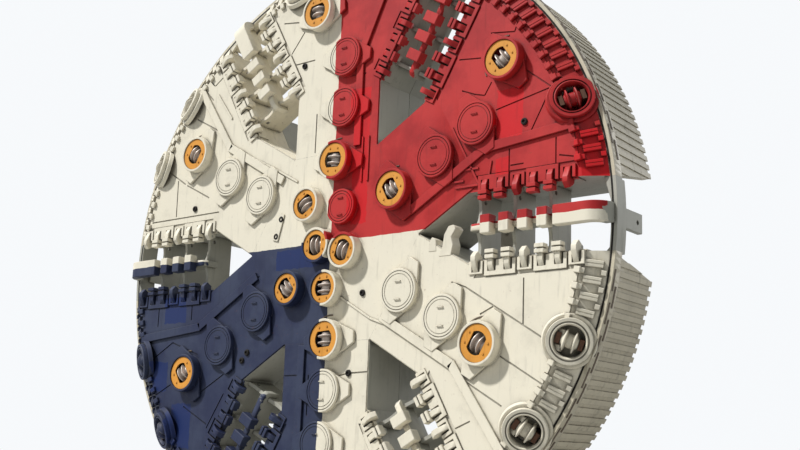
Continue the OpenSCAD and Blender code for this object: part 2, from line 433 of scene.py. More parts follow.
class Effects:
    """The effects that several finishes share, each a node group made once."""

    # Patches of freshly painted plate, and one strip of painted sunlight (the tall one at x 0.75) that takes
    # the same brighter red: x and z of the middle, half the width, half the height
    FRESH_AND_SUNLIT = (
        (4.56, 2.19, 0.30, 0.50), (4.40, 1.13, 0.16, 0.17), (6.33, 1.13, 0.30, 0.48),
        (-4.87, -1.10, 0.38, 0.30), (-5.25, -2.65, 0.25, 0.35), (-4.42, -3.80, 0.33, 0.50),
        (-0.95, -0.20, 0.65, 0.22), (0.75, 1.9, 0.22, 1.5),
    )
    # Rain streaks: how much the noise is squeezed along each axis
    STREAK = (9.0, 9.0, 0.9)
    EDGE_R = 0.016
    CREVICE_R = 0.16
    BUMP = 0.55
    # Samples of the bevel and crevice nodes
    SAMPLES = 4

    def __init__(self) -> None:
        """Builds the groups."""
        self.quadrants = self.make_quadrants()
        self.grime = self.make_grime()
        self.edges = self.make_edges()
        self.relief = self.make_relief()
        self.crevice = self.make_crevice()

    def fresh_and_sunlit_patches(self, graph: Graph, place: Socket) -> object:
        """Adds the mask of the patches of freshly painted plate and of the strip of painted sunlight.

        Args:
            graph: The graph to build in.
            place: The place on the head.

        Returns:
            The mask, with ragged edges.
        """
        axes = graph.parts(place)
        ragged = graph.swing(place, 5.0, 0.12)
        mask: object = 0.0
        for x, z, half_x, half_z in self.FRESH_AND_SUNLIT:
            beside = graph.minus(graph.math("ABSOLUTE", graph.minus(axes[0], x)), half_x)
            above = graph.minus(graph.math("ABSOLUTE", graph.minus(axes[2], z)), half_z)
            off = graph.plus(graph.math("MAXIMUM", beside, above), ragged)
            mask = graph.math("MAXIMUM", mask, graph.math("LESS_THAN", off, 0.0))
        return mask

    def make_quadrants(self) -> Tree:
        """Builds the paint of the face: red upper right, blue lower left and cream for the rest.

        Returns:
            The group, from a place and the height of the border to the paint.
        """
        tree, graph, place, level, result = group("Quadrant paint", "Level", {"Color": "Color"})
        wave = graph.swing(place, 3.0, 0.05)
        axes = graph.parts(place)
        right = graph.math("GREATER_THAN", graph.plus(axes[0], wave), 0.0)
        above = graph.math("GREATER_THAN", graph.plus(axes[2], wave), level)
        fade = graph.band(graph.noise(place, 0.9, 6.0, 0.62), 0.36, 0.62)
        # Freshly painted patches take the brighter colour, new; the strip at x 0.75 among them is painted
        # sunlight
        fresh_and_sunlit = self.fresh_and_sunlit_patches(graph, place)
        paints = (
            (Paint.RED, Paint.RED_FADED, Paint.RED_FRESH), (Paint.BLUE, Paint.BLUE_FADED, Paint.BLUE_FRESH))
        red, blue = (graph.mix(fresh_and_sunlit, graph.mix(fade, usual.value, faded.value), new.value)
                     for usual, faded, new in paints)
        is_red = graph.times(right, above)
        is_blue = graph.times(graph.minus(1.0, right), graph.minus(1.0, above))
        colour = graph.mix(is_blue, graph.mix(is_red, Paint.CREAM.value, red), blue)
        graph.feed(result.inputs["Color"], colour)
        return tree

    def make_grime(self) -> Tree:
        """Builds dust and dark stains that run down the head.

        Returns:
            The group, from a place and an amount to two masks.
        """
        tree, graph, place, amount, result = group("Grime", "Amount", {"Stain": "Float", "Speck": "Float"})
        cloud = graph.band(graph.noise(place, 1.3, 8.0, 0.68), 0.50, 0.78)
        squeezed = graph.add("ShaderNodeMapping", Vector=place, Scale=self.STREAK).outputs[0]
        streak = graph.band(graph.noise(squeezed, 1.0, 5.0, 0.6), 0.54, 0.74)
        stain = graph.times(graph.plus(graph.times(cloud, 0.6), graph.times(streak, 0.55)), amount)
        speck = graph.band(graph.noise(place, 11.0, 6.0, 0.7), 0.63, 0.72)
        graph.feed(result.inputs["Stain"], graph.math("MINIMUM", stain, 1.0))
        graph.feed(result.inputs["Speck"], graph.times(speck, amount))
        return tree

    def make_edges(self) -> Tree:
        """Builds the mask of the worn outer edges of a piece.

        Returns:
            The group, from a place and an amount to the mask.
        """
        tree, graph, place, amount, result = group("Edge wear", "Amount", {"Wear": "Float"})
        soft = graph.add("ShaderNodeBevel", {"samples": self.SAMPLES}, Radius=self.EDGE_R).outputs[0]
        true = graph.add("ShaderNodeNewGeometry").outputs["Normal"]
        dot = graph.add("ShaderNodeVectorMath", {"operation": "DOT_PRODUCT"})
        graph.feed(dot.inputs[0], soft)
        graph.feed(dot.inputs[1], true)
        edge = graph.band(dot.outputs["Value"], 0.99, 0.86)
        rough = graph.band(graph.noise(place, 7.0, 5.0, 0.7), 0.40, 0.62)
        graph.feed(result.inputs["Wear"], graph.times(graph.times(edge, rough), amount))
        return tree

    def make_relief(self) -> Tree:
        """Builds the uneven surface of thick paint over rolled and burnt plate.

        Returns:
            The group, from a place and a depth to a normal.
        """
        tree, graph, place, depth, result = group("Plate relief", "Depth", {"Normal": "Vector"})
        fine = graph.times(graph.noise(place, 24.0, 5.0, 0.7), 0.25)
        height = graph.plus(graph.noise(place, 2.4, 3.0), fine)
        bump = graph.add("ShaderNodeBump", Strength=self.BUMP, Distance=depth, Height=height)
        graph.feed(result.inputs["Normal"], bump.outputs[0])
        return tree

    def make_crevice(self) -> Tree:
        """Builds the mask of grime and painted shade beside raised pieces and in corners, from ambient
        occlusion.

        Returns:
            The group, from a place and an amount to the mask.
        """
        tree, graph, place, amount, result = group("Crevice dirt", "Amount", {"Dirt": "Float"})
        # Painted shade: occlusion darkens corners, recesses and the feet of raised pieces, together with
        # grime
        nearby = graph.add("ShaderNodeAmbientOcclusion", {"samples": self.SAMPLES}, Distance=self.CREVICE_R)
        uneven = graph.swing(place, 6.0, 0.30)
        deep = graph.band(graph.plus(nearby.outputs["AO"], uneven), 0.84, 0.42)
        graph.feed(result.inputs["Dirt"], graph.times(deep, amount))
        return tree


class Coat(Enum):
    """How a finish finds its colour."""

    QUADRANTS = "quadrants"
    PLAIN = "plain"


@dataclass(frozen=True)
class Finish:
    """One finish of painted plate or bare steel."""

    # The slot above this height and to the left of this place has pale walls
    PALE_Z: ClassVar[float] = 1.2
    PALE_X: ClassVar[float] = -0.3
    # Brightness of the darker clouds in a plain coat, and their strength
    CLOUD: ClassVar[float] = 0.72
    CLOUD_SHARE: ClassVar[float] = 0.35
    # Width of the uneven line at which a slot's paint ends, and how soft it is
    SPRAY: ClassVar[float] = 0.5
    SPRAY_EDGE: ClassVar[float] = 0.03
    # How much of its normal looks forward where a wall's colour ends, and where the face's begins; the sides
    # take the wall grey, which is partly painted shade
    FORWARD: ClassVar[Point] = (0.15, 0.4)
    # Strength of stains, specks, and of the crevice grime and painted shade on the colour, and of stains on
    # the roughness
    STAIN: ClassVar[float] = 0.62
    SPECK: ClassVar[float] = 0.75
    CREVICE_GRIME_AND_SHADE: ClassVar[float] = 0.86
    STAIN_ROUGH: ClassVar[float] = 0.25

    name: str
    coat: Coat = Coat.PLAIN
    colour: Colour = Paint.CREAM.value
    wall: bool = False
    level: float = 0.08
    grime: float = 0.5
    wear: float = 0.6
    worn: Colour = Paint.DARK_STEEL.value
    roughness: float = 0.52
    gloss: float = 0.3
    metallic: float = 0.0
    relief: float = 0.004
    # Strength of the crevice mask: grime, and painted shade in corners and recesses
    crevice: float = 0.85
    deep_y: float | None = None

    def clean(self, graph: Graph, effects: Effects, place: Socket) -> Socket:
        """Adds the colour of the coat, before dirt and wear.

        Args:
            graph: The material's graph.
            effects: The shared node groups.
            place: The place on the head.

        Returns:
            The colour.
        """
        if self.coat is Coat.QUADRANTS:
            colour = graph.use(effects.quadrants, Vector=place, Level=self.level).outputs["Color"]
        else:
            cloud = graph.band(graph.noise(place, 1.7, 5.0), 0.3, 0.7, 0.0, self.CLOUD_SHARE)
            colour = graph.mix(cloud, self.colour, (*(share * self.CLOUD for share in self.colour[:3]), 1.0))
        if not self.wall and self.deep_y is None:
            return colour
        axes = graph.parts(place)
        pale = graph.math("MINIMUM", graph.minus(axes[2], self.PALE_Z), graph.minus(self.PALE_X, axes[0]))
        # Sides and deep parts take the wall grey: primer, and darker than the face's paint as painted shade
        wall = graph.mix(graph.math("GREATER_THAN", pale, 0.0), Paint.WALL.value, Paint.CREAM.value)
        if self.wall:
            normal = graph.parts(graph.add("ShaderNodeNewGeometry").outputs["Normal"])
            return graph.mix(graph.band(graph.times(normal[1], -1.0), *self.FORWARD), wall, colour)
        depth = graph.plus(axes[1], graph.swing(place, 4.0, self.SPRAY, 5.0))
        return graph.mix(graph.band(depth, self.deep_y, self.deep_y + self.SPRAY_EDGE), colour, wall)

    def build(self, effects: Effects) -> bpy.types.Material:
        """Builds the material.

        Args:
            effects: The shared node groups.

        Returns:
            The material, all of it from nodes on Object coordinates.
        """
        material = bpy.data.materials.new(self.name)
        material.use_nodes = True
        material.node_tree.nodes.clear()
        graph = Graph(material.node_tree)
        place = graph.add("ShaderNodeTexCoord").outputs["Object"]
        colour = self.clean(graph, effects, place)
        grime = graph.use(effects.grime, Vector=place, Amount=self.grime)
        stain, speck = grime.outputs["Stain"], grime.outputs["Speck"]
        colour = graph.mix(stain, colour, graph.mix(self.STAIN, colour, Paint.GRIME.value, "MULTIPLY"))
        colour = graph.mix(graph.times(speck, self.SPECK), colour, Paint.RUST.value)
        if self.wear > 0:
            edges = graph.use(effects.edges, Vector=place, Amount=self.wear)
            colour = graph.mix(edges.outputs["Wear"], colour, self.worn)
        # Crevices darken with grime and painted shade
        if self.crevice > 0:
            grime_and_shade = graph.use(effects.crevice, Vector=place, Amount=self.crevice).outputs["Dirt"]
            colour = graph.mix(grime_and_shade, colour, graph.mix(self.CREVICE_GRIME_AND_SHADE, colour, Paint.GRIME.value, "MULTIPLY"))
        relief = graph.use(effects.relief, Vector=place, Depth=self.relief)
        roughness = graph.plus(graph.times(stain, self.STAIN_ROUGH), self.roughness)
        shader = graph.add(
            "ShaderNodeBsdfPrincipled", Base_Color=colour, Roughness=roughness, Metallic=self.metallic,
            Specular_IOR_Level=self.gloss, Normal=relief.outputs["Normal"])
        graph.add("ShaderNodeOutputMaterial", Surface=shader.outputs["BSDF"])
        return material


class Workshop:
    """Makes pieces with Blender's own modelling tools, and keeps the head's finishes."""

    # Greatest angle between two faces that is still smoothed
    SMOOTH = 35.0
    # How deep in a slot its paint still reaches; further in, the wall grey is partly painted shade
    PAINT_DEPTH = 0.05

    def __init__(self, head: Head) -> None:
        """Builds the finishes.

        Args:
            head: The head's sizes.
        """
        self.head = head
        effects = Effects()
        deep_y = head.face_y + self.PAINT_DEPTH
        finishes = (
            Finish("face_paint", Coat.QUADRANTS, wall=True),
            Finish("plate_paint", Coat.QUADRANTS),
            Finish("slot_paint", Coat.QUADRANTS, level=0.02, deep_y=deep_y),
            Finish("scraper_paint", Coat.QUADRANTS, level=0.02, wear=0.8, deep_y=deep_y),
            Finish("rim_paint", colour=Paint.RIM_CREAM.value, grime=0.8, crevice=0.6),
            Finish("rear_paint", grime=0.4),
            Finish("amber_paint", colour=Paint.AMBER.value, grime=0.7, worn=Paint.RUST.value),
            Finish("saddle_paint", colour=Paint.SADDLE.value, grime=0.9, worn=Paint.RUST.value),
            # Primer in the wall grey, which is partly painted shade
            Finish("primer", colour=Paint.WALL.value),
            Finish("cutter_steel", colour=Paint.WORN_STEEL.value, grime=0.55, metallic=0.35,
                   worn=Paint.STEEL.value, wear=0.9, roughness=0.42, gloss=0.5, relief=0.002, crevice=0.5),
            Finish("gauge_cutter_paint", Coat.QUADRANTS, grime=0.6, wear=0.9, worn=Paint.STEEL.value,
                   crevice=0.9),
            Finish("bright_steel", colour=Paint.STEEL.value, grime=0.55, metallic=0.8, wear=0.3,
                   roughness=0.34, gloss=0.5, relief=0.0015),
            Finish("dark_gap", colour=Paint.DARK.value, grime=0.3, wear=0.0, roughness=0.8, crevice=0.0),
            Finish("pocket", colour=Paint.OLIVE.value, grime=0.6, wear=0.0, roughness=0.8, crevice=1.0),
            Finish("weld", colour=Paint.WELD.value, wear=0.3, relief=0.008, crevice=0.4),
        )
        self.finishes = {finish.name: finish.build(effects) for finish in finishes}

    @staticmethod
    def clear() -> None:
        """Leaves edit mode and deselects everything."""
        if bpy.context.mode != "OBJECT":
            bpy.ops.object.mode_set(mode="OBJECT")
        bpy.ops.object.select_all(action="DESELECT")

    @classmethod
    def pick(cls, *pieces: Piece) -> None:
        """Selects only these pieces, with the first one active."""
        cls.clear()
        for piece in pieces:
            piece.select_set(True)
        bpy.context.view_layer.objects.active = pieces[0]

    @staticmethod
    def apply() -> Piece:
        """Applies the place, turn and scale of the active piece and returns it."""
        bpy.ops.object.transform_apply(location=True, rotation=True, scale=True)
        return bpy.context.object

    @staticmethod
    def whole() -> None:
        """Selects the whole piece in edit mode."""
        bpy.ops.mesh.select_all(action="SELECT")

    @staticmethod
    def outward() -> None:
        """Turns the selected faces outward in edit mode."""
        bpy.ops.mesh.normals_make_consistent(inside=False)

    @staticmethod
    def merge(gap: float = 1e-5) -> None:
        """Merges selected points that lie together in edit mode."""
        bpy.ops.mesh.remove_doubles(threshold=gap)

    @classmethod
    def edit(cls, piece: Piece, *steps: Callable[[], object]) -> Piece:
        """Runs steps in edit mode.

        Args:
            piece: The piece, all of which is selected at the start.
            *steps: The steps.

        Returns:
            The piece.
        """
        cls.pick(piece)
        bpy.ops.object.mode_set(mode="EDIT")
        cls.whole()
        for step in steps:
            step()
        bpy.ops.object.mode_set(mode="OBJECT")
        return piece

    @classmethod
    def bevel(cls, piece: Piece, width: float) -> Piece:
        """Bevels every edge of a piece.

        Args:
            piece: The piece.
            width: Width of the bevels, or nought for none.

        Returns:
            The piece.
        """
        if width > 0:
            cls.edit(piece, lambda: bpy.ops.mesh.bevel(offset=width, segments=1, affect="EDGES"))
        return piece

    @classmethod
    def extrude(cls, piece: Piece, step: Sequence[float]) -> Piece:
        """Extrudes a flat piece.

        Args:
            piece: The piece.
            step: How far it is extruded along each axis.

        Returns:
            The piece.
        """
        move = {"value": step}
        return cls.edit(piece, lambda: bpy.ops.mesh.extrude_region_move(TRANSFORM_OT_translate=move),
                        cls.whole, cls.outward)

    @classmethod
    def halve(cls, piece: Piece, place: Place, away: Place, fill: bool = False) -> None:
        """Cuts off what lies beyond a plane.

        Args:
            piece: The piece.
            place: A point of the plane.
            away: Direction of the side that is cut off.
            fill: Whether the cut is closed.
        """
        cls.edit(piece, lambda: bpy.ops.mesh.bisect(
            plane_co=place, plane_no=away, clear_outer=True, use_fill=fill))

    @classmethod
    def drawn(cls, points: Sequence[Sequence[float]], fill: str = "NGON") -> Piece:
        """Draws a closed outline through points in space.

        Args:
            points: The points.
            fill: Blender's name for the outline's fill.

        Returns:
            The flat piece.
        """
        cls.clear()
        bpy.ops.mesh.primitive_circle_add(vertices=len(points), radius=1.0, fill_type=fill)
        piece = bpy.context.object
        for vertex, point in zip(piece.data.vertices, points):
            vertex.co = point
        return piece

    @classmethod
    def disc(cls, radius: float, steps: int) -> Piece:
        """Makes a flat disc across Y.

        Args:
            radius: Its radius.
            steps: Number of its corners.

        Returns:
            The disc.
        """
        cls.clear()
        bpy.ops.mesh.primitive_circle_add(
            vertices=steps, radius=radius, fill_type="NGON", rotation=(math.radians(90), 0, 0))
        return cls.apply()

    @classmethod
    def rod(cls, radius: float, length: float, middle: Place, along: str, steps: int) -> Piece:
        """Makes a cylinder.

        Args:
            radius: Its radius.
            length: Its length.
            middle: Place of its middle.
            along: Name of the axis that it lies along, X or Y.
            steps: Number of its sides.

        Returns:
            The cylinder.
        """
        cls.clear()
        turn = (0, math.radians(90), 0) if along == "X" else (math.radians(90), 0, 0)
        bpy.ops.mesh.primitive_cylinder_add(
            vertices=steps, radius=radius, depth=length, location=middle, rotation=turn)
        return cls.apply()

    @classmethod
    def block(cls, low: Sequence[float], high: Sequence[float], bevel: float = 0.004) -> Piece:
        """Makes a block.

        Args:
            low: Its lowest corner.
            high: Its highest corner.
            bevel: Width of its bevelled edges.

        Returns:
            The block.
        """
        cls.clear()
        bpy.ops.mesh.primitive_cube_add(size=1.0, location=(Vector(low) + Vector(high)) / 2)
        bpy.context.object.scale = Vector(high) - Vector(low)
        return cls.bevel(cls.apply(), bevel)

    @classmethod
    def spin(cls, piece: Piece, steps: int, angle: float, axis: Place = (0, 1, 0)) -> Piece:
        """Spins a drawn profile.

        Args:
            piece: The profile.
            steps: Number of steps.
            angle: Angle that it goes through, in radians.
            axis: Direction of the axis, which passes through the origin.

        Returns:
            The spun piece.
        """
        return cls.edit(
            piece, lambda: bpy.ops.mesh.spin(steps=steps, angle=angle, center=(0, 0, 0), axis=axis),
            cls.whole, cls.merge, cls.outward)

    @classmethod
    def turned(cls, profile: Sequence[Point], steps: int = 48, along: str = "Y") -> Piece:
        """Turns a closed profile about an axis.

        Args:
            profile: Points as radius and distance along the axis; along Y the distance goes out of the face.
            steps: Number of steps round.
            along: Name of the axis, Y or X.

        Returns:
            The turned piece.
        """
        if along == "Y":
            return cls.spin(cls.drawn([(r, -d, 0) for r, d in profile], "NOTHING"), steps, math.tau)
        return cls.spin(cls.drawn([(d, 0, r) for r, d in profile], "NOTHING"), steps, math.tau, (1, 0, 0))

    @classmethod
    def arc(cls, profile: Sequence[Point], start: float, sweep: float, steps: int = 24) -> Piece:
        """Turns a filled profile about Y through part of a circle.

        Args:
            profile: Points as radius and distance out of the face.
            start: Angle at which the arc starts.
            sweep: Angle that it goes through.
            steps: Number of steps.

        Returns:
            The arc, closed at both ends.
        """
        piece = cls.drawn([(r, -d, 0) for r, d in profile])
        piece.data.transform(about_axis(start))
        return cls.spin(piece, steps, math.radians(sweep))

    @classmethod
    def outline(cls, points: Sequence[Point], low: float, high: float, across: str = "Y",
                bevel: float = 0.0) -> Piece:
        """Draws a closed outline and extrudes it.

        Args:
            points: The outline, in the two axes that it lies along, in the order x, y, z.
            low: Where the piece begins on the axis that the outline lies across.
            high: Where it ends.
            across: Name of that axis.
            bevel: Width of its bevelled edges.

        Returns:
            The extruded piece.
        """
        axis = "XYZ".index(across)
        step = Vector((0, 0, 0))
        step[axis] = high - low
        return cls.bevel(cls.extrude(cls.drawn([(*p[:axis], low, *p[axis:]) for p in points]), step), bevel)

    @classmethod
    def bolt(cls, radius: float, height: float) -> Piece:
        """Makes a hexagon bolt head with its washer, on the plane y = 0 and out of the face.

        Args:
            radius: Radius of the head's corners.
            height: Height of the head.

        Returns:
            The bolt head.
        """
        washer_r, washer_h = 1.5 * radius, 0.2 * height
        washer = cls.turned([(0.0, 0.0), (washer_r, 0.0), (washer_r, washer_h), (0.0, washer_h)], 12)
        head = cls.outline(curve((0, 0), radius, 0, 300, 5), -height, 0.0, bevel=0.12 * radius)
        return cls.join([washer, head])

    @classmethod
    def bar(cls, ends: Segment, y: float, width: float, height: float, bevel: float = 0.006) -> Piece:
        """Makes a straight bar that lies on a plane across Y, between two places on it.

        Args:
            ends: The bar's ends as x, z, x, z.
            y: Place of the plane.
            width: Width of the bar.
            height: Height of the bar before the plane.
            bevel: Width of its bevelled edges.

        Returns:
            The bar.
        """
        x0, z0, x1, z1 = ends
        piece = cls.block((0, -height, -width / 2), (math.hypot(x1 - x0, z1 - z0), 0, width / 2), bevel)
        turn = math.degrees(math.atan2(z1 - z0, x1 - x0))
        piece.data.transform(Matrix.Translation((x0, y, z0)) @ about_axis(turn))
        return piece

    @classmethod
    def join(cls, pieces: Sequence[Piece]) -> Piece:
        """Joins pieces.

        Args:
            pieces: The pieces.

        Returns:
            The first one, which holds them all.
        """
        cls.pick(*pieces)
        if len(pieces) > 1:
            bpy.ops.object.join()
        return pieces[0]

    @staticmethod
    def twin(piece: Piece, place: Matrix | None = None) -> Piece:
        """Copies a piece.

        Args:
            piece: The piece, or a node of the frame.
            place: Matrix that carries the copy to its place, or None to leave it there.

        Returns:
            The copy.
        """
        copy = bpy.data.objects.new(piece.name, piece.data.copy())
        if place is not None:
            copy.data.transform(place)
        bpy.context.scene.collection.objects.link(copy)
        return copy

    @classmethod
    def copies(cls, pattern: Piece, places: Iterable[Matrix]) -> Piece:
        """Copies a pattern to each place and removes it.

        Args:
            pattern: The pattern.
            places: A matrix for each copy.

        Returns:
            The copies, joined.
        """
        made = [cls.twin(pattern, place) for place in places]
        bpy.data.objects.remove(pattern)
        return cls.join(made)

    @classmethod
    def mirrored(cls, piece: Piece, place: Matrix | None = None) -> Piece:
        """Copies a piece to the other side of the plane z = 0, and then to a place where one is given."""
        mirror = Matrix.Scale(-1, 4, (0, 0, 1))
        return cls.edit(cls.twin(piece, mirror if place is None else place @ mirror), cls.outward)

    @classmethod
    def cut(cls, piece: Piece, cutter: Piece) -> None:
        """Cuts one piece out of another.

        Args:
            piece: The piece that is cut.
            cutter: The piece that is cut out of it, and removed.
        """
        cls.pick(piece)
        modifier = piece.modifiers.new("cut", "BOOLEAN")
        modifier.operation = "DIFFERENCE"
        modifier.solver = "EXACT"
        modifier.use_self = True
        modifier.object = cutter
        bpy.ops.object.modifier_apply(modifier=modifier.name)
        bpy.data.objects.remove(cutter)

    def paint(self, piece: Piece, finish: str) -> None:
        """Gives a piece or a node one finish and no other."""
        piece.data.materials.clear()
        piece.data.materials.append(self.finishes[finish])

    def finish(self, piece: Piece, name: str, paint: str, slot: str, body: str = BODY) -> Piece:
        """Names a piece, smooths it, gives it its finish and makes it ride on its body.

        Args:
            piece: The piece.
            name: Its name.
            paint: Name of its finish.
            slot: The record's material slot; not used.
            body: Body that it rides on.

        Returns:
            The piece.
        """
        self.pick(piece)
        self.apply()
        bpy.ops.object.shade_smooth_by_angle(angle=math.radians(self.SMOOTH))
        piece.name = piece.data.name = name
        self.paint(piece, paint)
        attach(piece, body)
        LOG.info("%s: %d faces", name, len(piece.data.polygons))
        return piece


@dataclass
class Studio:
    """The camera, lights, floor and backdrop."""

    focal_px: float = 1195.5
    image_px: float = 800.0
    sensor: float = 36.0
    yaw: float = 39.241
    pitch: float = 12.449
    roll: float = -2.112
    place: Place = (17.032, -21.546, -5.04)
    far: float = 500.0
    floor_z: float = -6.8
    floor_half: float = 45.0
    floor_colour: Colour = srgb(178, 178, 175)
    floor_rough: float = 0.8
    light_colour: Colour = (0.86, 0.93, 1.0, 1.0)
    light_strength: float = 0.26
    backdrop_colour: Colour = (0.93, 0.95, 0.97, 1.0)

    # Each lamp's name, the direction towards it, its strength and the angle that it fills
    LAMPS: ClassVar = (("key", (-0.40, -0.52, 0.76), 3.7, 4.0), ("rear", (0.15, 0.95, 0.3), 0.7, 20.0))

    def build(self) -> None:
        """Builds the whole studio."""
        self.add_camera()
        self.add_lights()
        self.add_world()
        self.add_floor()
        bpy.context.scene.view_settings.view_transform = "Standard"

    def add_camera(self) -> None:
        """Adds the camera at the photograph's viewing angle."""
        data = bpy.data.cameras.new("camera")
        data.sensor_width = self.sensor
        data.lens = self.focal_px / self.image_px * self.sensor
        data.clip_end = self.far
        camera = bpy.data.objects.new("camera", data)
        pose = Matrix.Translation(self.place)
        for angle, axis in ((self.yaw, "Z"), (self.pitch, "X"), (self.roll, "Y"), (90, "X")):
            pose = pose @ Matrix.Rotation(math.radians(angle), 4, axis)
        camera.matrix_world = pose
        bpy.context.scene.collection.objects.link(camera)
        bpy.context.scene.camera = camera

    def add_lights(self) -> None:
        """Adds the soft main light from the upper left in front, and a weak one from behind."""
        for name, direction, strength, angle in self.LAMPS:
            data = bpy.data.lights.new(name, "SUN")
            data.energy = strength
            data.angle = math.radians(angle)
            light = bpy.data.objects.new(name, data)
            light.rotation_euler = Vector(direction).to_track_quat("Z", "Y").to_euler()
            bpy.context.scene.collection.objects.link(light)

    def add_world(self) -> None:
        """Adds an even light from all round, with a pale backdrop where it is seen."""
        world = bpy.data.worlds.new("world")
        bpy.context.scene.world = world
        world.use_nodes = True
        world.node_tree.nodes.clear()
        graph = Graph(world.node_tree)
        rays = graph.add("ShaderNodeLightPath").outputs
        mirrored = graph.math("MAXIMUM", rays["Is Glossy Ray"], rays["Is Transmission Ray"])
        light = graph.add("ShaderNodeBackground", Color=self.light_colour, Strength=self.light_strength)
        backdrop = graph.add("ShaderNodeBackground", Color=self.backdrop_colour, Strength=1.0)
        blend = graph.add("ShaderNodeMixShader")
        graph.feed(blend.inputs[0], graph.math("MAXIMUM", rays["Is Camera Ray"], mirrored))
        graph.feed(blend.inputs[1], light.outputs[0])
        graph.feed(blend.inputs[2], backdrop.outputs[0])
        graph.add("ShaderNodeOutputWorld", Surface=blend.outputs[0])

    def add_floor(self) -> None:
        """Adds the pale floor just under the head."""
        Workshop.clear()
        bpy.ops.mesh.primitive_plane_add(size=2 * self.floor_half, location=(0, 0, self.floor_z))
        floor = bpy.context.object
        floor.name = "floor"
        material = bpy.data.materials.new("floor")
        material.use_nodes = True
        shader = material.node_tree.nodes["Principled BSDF"]
        shader.inputs["Base Color"].default_value = self.floor_colour
        shader.inputs["Roughness"].default_value = self.floor_rough
        floor.data.materials.append(material)


@dataclass
class FacePlates:
    """The plates that cover the cutting face, with the seams between them."""

    shop: Workshop
    thickness: float = 0.02
    seam_w: float = 0.03
    edge_plate_w: float = 0.3
    border: float = 0.02
    pocket_r: float = 0.34
    outer_r: float = 6.19
    merge_gap: float = 0.0005
    notch_step: float = 2.7
    notch_w: float = 0.14
    notch_l: float = 0.07
    tooth_w: float = 0.12
    tooth_l: float = 0.14
    tooth_h: float = 0.085
    tooth_sink: float = 0.01
    tooth_edge: float = 0.012
    # Seats nearer the axis than centre_reach touch the centre block, and those beyond arm_start an arm
    centre_reach: float = 3.0
    arm_start: float = 1.5
    arm_reach: float = 40.0

    # The seams of each arm's plates, both ends as x, z, x, z
    SEAMS = {
        30: (
            (4.23, 2.30, 5.45, 2.53), (5.52, 2.53, 4.93, 2.99), (5.45, 2.46, 5.05, 1.74),
            (3.95, 2.65, 4.11, 2.90), (3.39, 2.85, 3.70, 2.72), (3.70, 2.72, 3.95, 2.65),
            (3.30, 3.53, 3.84, 3.46), (3.73, 4.42, 3.36, 3.85), (3.18, 3.49, 3.02, 3.19),
            (4.75, 4.15, 4.64, 3.85), (4.07, 3.94, 4.64, 3.85), (4.56, 1.46, 4.56, 1.02),
            (5.61, 1.53, 5.61, 1.02), (5.68, 1.17, 6.06, 1.08), (4.59, 1.12, 4.89, 1.12)),
        90: (
            (0.36, 3.76, 0.80, 3.74), (1.10, 1.65, 1.95, 2.00), (-1.66, 4.35, -0.75, 4.35),
            (-0.60, 3.05, -0.60, 2.15), (-1.16, 1.90, -0.75, 1.87), (-0.75, 1.87, -0.44, 1.60),
            (-1.62, 4.50, -1.12, 5.10), (-1.80, 5.46, -1.25, 5.37)),
        150: (
            (-4.75, 4.65, -4.07, 4.00), (-4.41, 4.69, -4.05, 4.35), (-4.05, 4.35, -3.62, 4.62),
            (-4.60, 3.60, -3.44, 2.99), (-5.80, 2.58, -4.87, 2.00), (-4.80, 1.96, -3.98, 1.55),
            (-5.14, 2.12, -5.12, 1.21), (-6.00, 1.16, -3.60, 1.16)),
        210: (
            (-5.48, -1.02, -5.48, -1.45), (-4.30, -1.02, -4.30, -1.36), (-5.78, -2.34, -4.89, -1.86),
            (-4.89, -1.86, -3.98, -2.18), (-5.57, -3.18, -4.80, -2.82), (-4.35, -3.36, -3.53, -3.77),
            (-3.89, -3.09, -3.07, -2.66), (-3.03, -3.09, -3.53, -3.86), (-2.39, -0.66, -1.66, -0.23)),
        270: (
            (-1.20, -2.75, -0.66, -2.75), (-0.75, -2.75, -0.75, -3.60), (-0.45, -2.75, -0.45, -3.60),
            (0.0, -2.86, 0.68, -2.75), (0.68, -2.75, 1.36, -2.73), (0.55, -1.98, 1.0, -1.98)),
        330: (
            (3.25, -1.05, 3.60, -1.18), (3.60, -1.18, 5.60, -2.40), (4.93, -1.10, 4.93, -1.98),
            (4.43, -2.55, 5.43, -3.14), (3.64, -3.0, 4.48, -3.48), (3.95, -1.73, 4.25, -1.60),
            (3.40, -3.90, 3.77, -3.75)),
    }

    @property
    def notches(self) -> list[float]:
        """Angles of the notches of one arm, from the arm's own."""
        return [(i + 0.5) * self.notch_step for i in range(-8, 8)]

    def trimmed(self, cuts: Sequence[tuple[Point, float]]) -> Piece:
        """Makes a disc as large as the face, and trims it.

        Args:
            cuts: Lines by a point and the direction of the side that is cut off.

        Returns:
            What is left of the disc.
        """
        piece = Workshop.disc(self.outer_r, FACE_STEPS)
        for (u, v), angle in cuts:
            way = math.radians(angle)
            Workshop.halve(piece, (u, 0, v), (math.cos(way), 0, math.sin(way)))
        return piece

    def sector(self, arm: int) -> Piece:
        """Makes the plate of one arm: a disc, trimmed along the arm's sides.

        Args:
            arm: Angle of the arm.

        Returns:
            The plate, a flat face on the plane of the cutting face.
        """
        head = self.shop.head
        half = head.arm_half - self.border
        corner_u = head.corner_u + self.edge_plate_w
        side_v = head.arm_half - (self.edge_plate_w + self.border) / math.cos(math.radians(HALF_ARM))
        plate = Workshop.join([
            self.trimmed((((head.centre_u, 0), 180), ((0, half), 90), ((0, -half), 270),
                          ((corner_u, 0), 0))),
            self.trimmed((((corner_u, 0), 180), ((head.corner_u, side_v), 120),
                          ((head.corner_u, -side_v), 240))),
        ])
        Workshop.edit(plate, lambda: Workshop.merge(self.merge_gap))
        plate.data.transform(about_axis(arm))
        return plate

    def hexagon(self) -> Piece:
        """Makes the plate of the centre block, with a corner between each two arms.

        Returns:
            The plate, a flat face on the plane of the cutting face.
        """
        radius = self.shop.head.centre_corner
        piece = Workshop.disc(radius, 6)
        if max(vertex.co.x for vertex in piece.data.vertices) < radius - 0.01:
            piece.data.transform(about_axis(HALF_ARM))
        return piece

